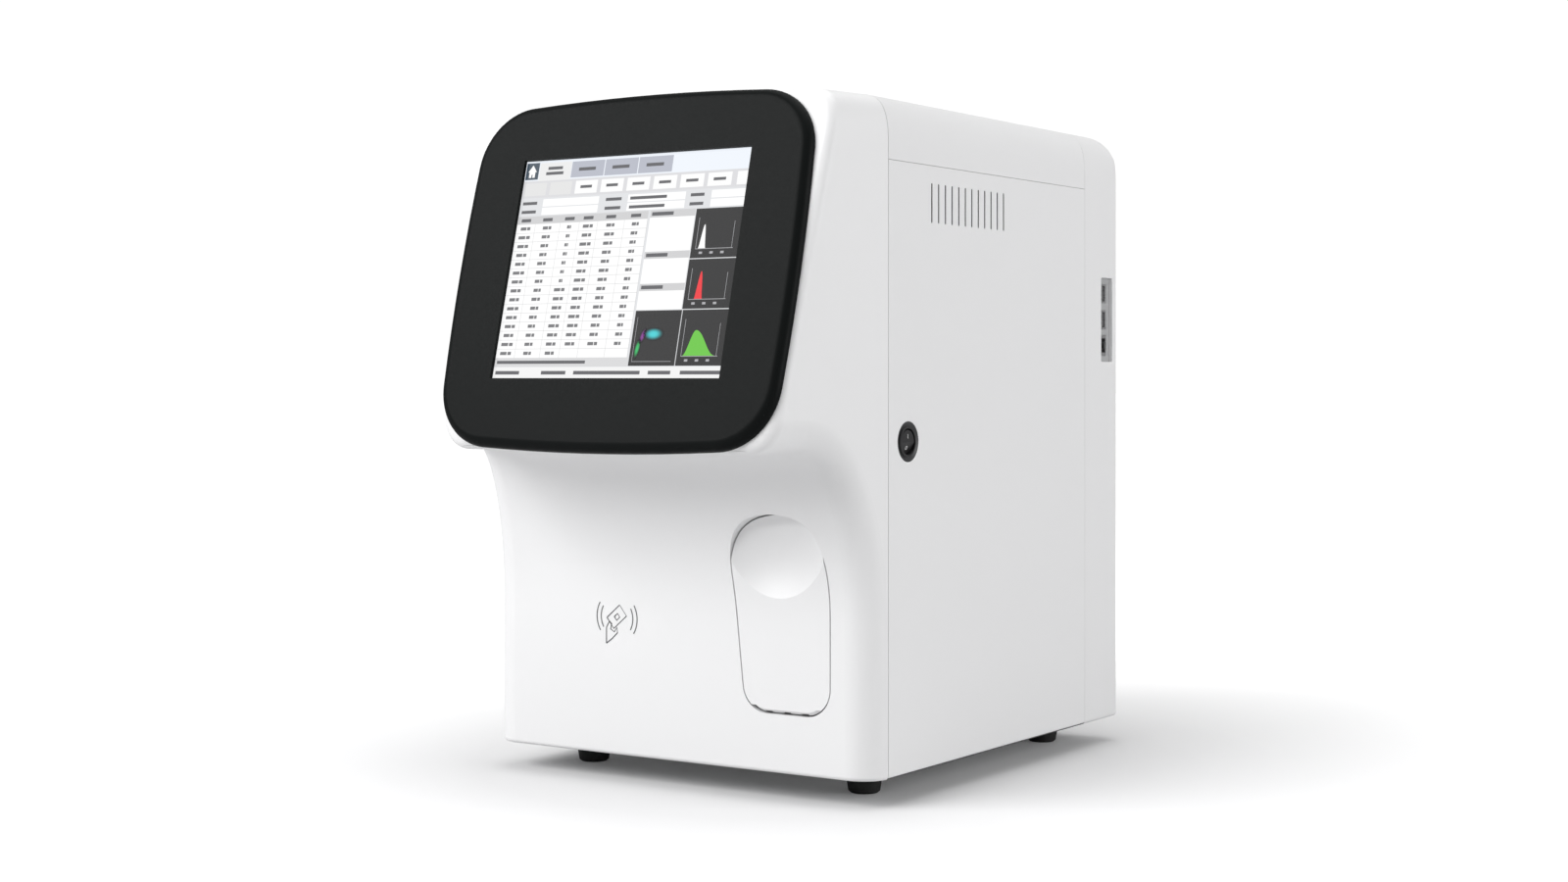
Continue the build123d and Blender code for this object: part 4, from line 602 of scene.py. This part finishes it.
def bar_loop(half_width, half_height):
    corners = ((1, 1), (-1, 1), (-1, -1), (1, -1))
    return [(half_width * side, half_height * rise) for side, rise in corners]


bar = [bar_loop(0.00002, 0.0010), bar_loop(0.0003, 0.0015)]
rocker_mark("rocker_bar", bar, mark_reach, 0)
rocker_mark("rocker_ring", [round_loop(0.0009), round_loop(0.0014)], -mark_reach, half_tilt)


# Ports
# Two serial-bus sockets and a network socket in nickel-plated shells behind a grey plate,
# with four gold-plated spring contacts on each serial-bus tongue.
nickel = plain_finish("nickel plate", (0.55, 0.55, 0.56), 0.22, 0.34, 1500, 0.05, 1.0)
port_grey = plain_finish("grey plate", (0.42, 0.425, 0.43), 0.4, 0.5, 1200, 0.08)
dress(nickel, "usb_sockets", "network_socket")
dress(port_grey, "port_plate")
gold = plain_finish("gold contact", (0.80, 0.58, 0.22), 0.2, 0.3, 900, 0.0, 1.0)
usb_low, usb_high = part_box("usb_sockets")
usb_middle = (usb_low.z + usb_high.z) / 2


socket_rise = 0.0109
contact_pitch = 0.0024
contact_half = 0.0005
contact_x = (usb_high.x - 0.0095, usb_high.x - 0.0015)
contact_y = (usb_low.y + 0.00482, usb_low.y + 0.00497)


def contact_strip(name, z):
    corners = [(a, b, c) for a in contact_x for b in contact_y for c in z]
    faces = [(0, 1, 3, 2), (4, 6, 7, 5), (0, 4, 5, 1), (2, 3, 7, 6), (0, 2, 6, 4), (1, 5, 7, 3)]
    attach(mesh_object(name, corners, faces, gold), "root")


for socket in range(2):
    socket_z = usb_middle + (socket_rise if socket == 0 else -socket_rise)
    for contact in range(4):
        contact_z = socket_z + (contact - 1.5) * contact_pitch
        strip_z = (contact_z - contact_half, contact_z + contact_half)
        contact_strip(f"usb_contact_{socket}_{contact}", strip_z)


# Feet
# Moulded black rubber feet, each held by a zinc-plated pan-head screw. The gantry's toothed
# belt is black rubber too.
foot_rubber = plain_finish("black rubber", (0.012, 0.012, 0.012), 0.6, 0.75, 900, 0.2)
dress(foot_rubber, "rubber_feet", "gantry_belt")


# Sheet metal and screws
# Zinc-plated steel: the floor pan, the welded frame, the shelf, the brackets, the power
# supply's box, the rods and pins, and all screws.
zinc = plain_finish("zinc-plated steel", (0.60, 0.61, 0.62), 0.28, 0.45, 420, 0.06, 1.0)
dress(
    zinc,
    "base_pan",
    "chassis_frame",
    "mid_deck",
    "foot_screws",
    "cover_screws",
    "door_hinge_pin",
    "fan_guard",
    "gantry_rail",
    "probe_screw",
    "sampling_probe",
    "bath_bracket",
    "syringe_bracket",
    "power_supply",
)


# Painted screw recess shade
# The cross recess pressed into each pan head on the back is drawn as a flat dark cross a hair
# off the head: painted shade standing in for its depth.
painted_recess_shade = plain_finish("painted screw recess shade", (0.05, 0.05, 0.05), 0.5, 0.6, 900, 0.0)
screws_low, screws_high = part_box("cover_screws")
head_r = 0.0034
slot_half = 0.0003
slot_reach = 0.0018
paint_gap = 0.00003
arm = ((slot_half, slot_half), (slot_reach, slot_half), (slot_reach, -slot_half))
for side in (0, 1):
    screw_x = (screws_low.x + head_r, screws_high.x - head_r)[side]
    heights = (screws_low.z + head_r, (screws_low.z + screws_high.z) / 2, screws_high.z - head_r)
    for level in range(3):
        points = []
        for turn in range(4):
            for along, across in arm:
                dx = along * cos(pi * turn / 2) + across * sin(pi * turn / 2)
                dz = along * sin(pi * turn / 2) - across * cos(pi * turn / 2)
                points.append((screw_x + dx, screws_high.y + paint_gap, heights[level] + dz))
        # The near-black cross is painted shade, not a colour of the screw.
        recess = mesh_object(f"screw_recess_shade_{side}_{level}", points, [tuple(range(12))], painted_recess_shade)
        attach(recess, "root")


# Back panel
# Black nylon inlet, fuse drawer and fan, a turned brass earth stud and four brass hose
# fittings on a grey plate.
brass = plain_finish("turned brass", (0.62, 0.47, 0.22), 0.2, 0.32, 700, 0.04, 1.0)
dress(switch_black, "power_inlet", "fuse_drawer", "fan_frame", "fan_rotor")
dress(brass, "ground_stud", "fluid_fittings")
dress(port_grey, "fitting_plate")


# Inside
# Grey polyacetal for the sampling compartment and manifold, anodised aluminium for the
# gantry, black-painted motors, clear acrylic baths and bottle.
alloy = plain_finish("anodised aluminium", (0.66, 0.67, 0.68), 0.3, 0.42, 1000, 0.05, 1.0)
motor_paint = plain_finish("black motor paint", (0.02, 0.02, 0.022), 0.35, 0.5, 800, 0.1)
board_green = plain_finish("green circuit board", (0.02, 0.13, 0.05), 0.3, 0.45, 600, 0.1)
acrylic = plain_finish("clear acrylic", (0.9, 0.93, 0.94), 0.03, 0.07, 300, 0.0)
acrylic.node_tree.nodes["Principled BSDF"].inputs["Transmission Weight"].default_value = 0.9
dress(
    port_grey,
    "sample_compartment",
    "tube_cradle",
    "tube_adapter",
    "rinse_block",
    "drive_pulley",
    "idler_pulley",
    "valve_manifold",
)
dress(
    alloy,
    "gantry_plate",
    "carriage",
    "probe_holder",
    "optical_bench",
    "air_pump",
    "waste_pump_rotor",
    "syringe_plunger_a",
    "syringe_plunger_b",
)
dress(motor_paint, "gantry_motor", "probe_motor", "syringe_motors")
dress(motor_paint, "display_module", "waste_pump_body", "solenoid_valves")
dress(acrylic, "counting_baths", "syringe_barrels", "vacuum_chamber")
dress(board_green, "main_board")
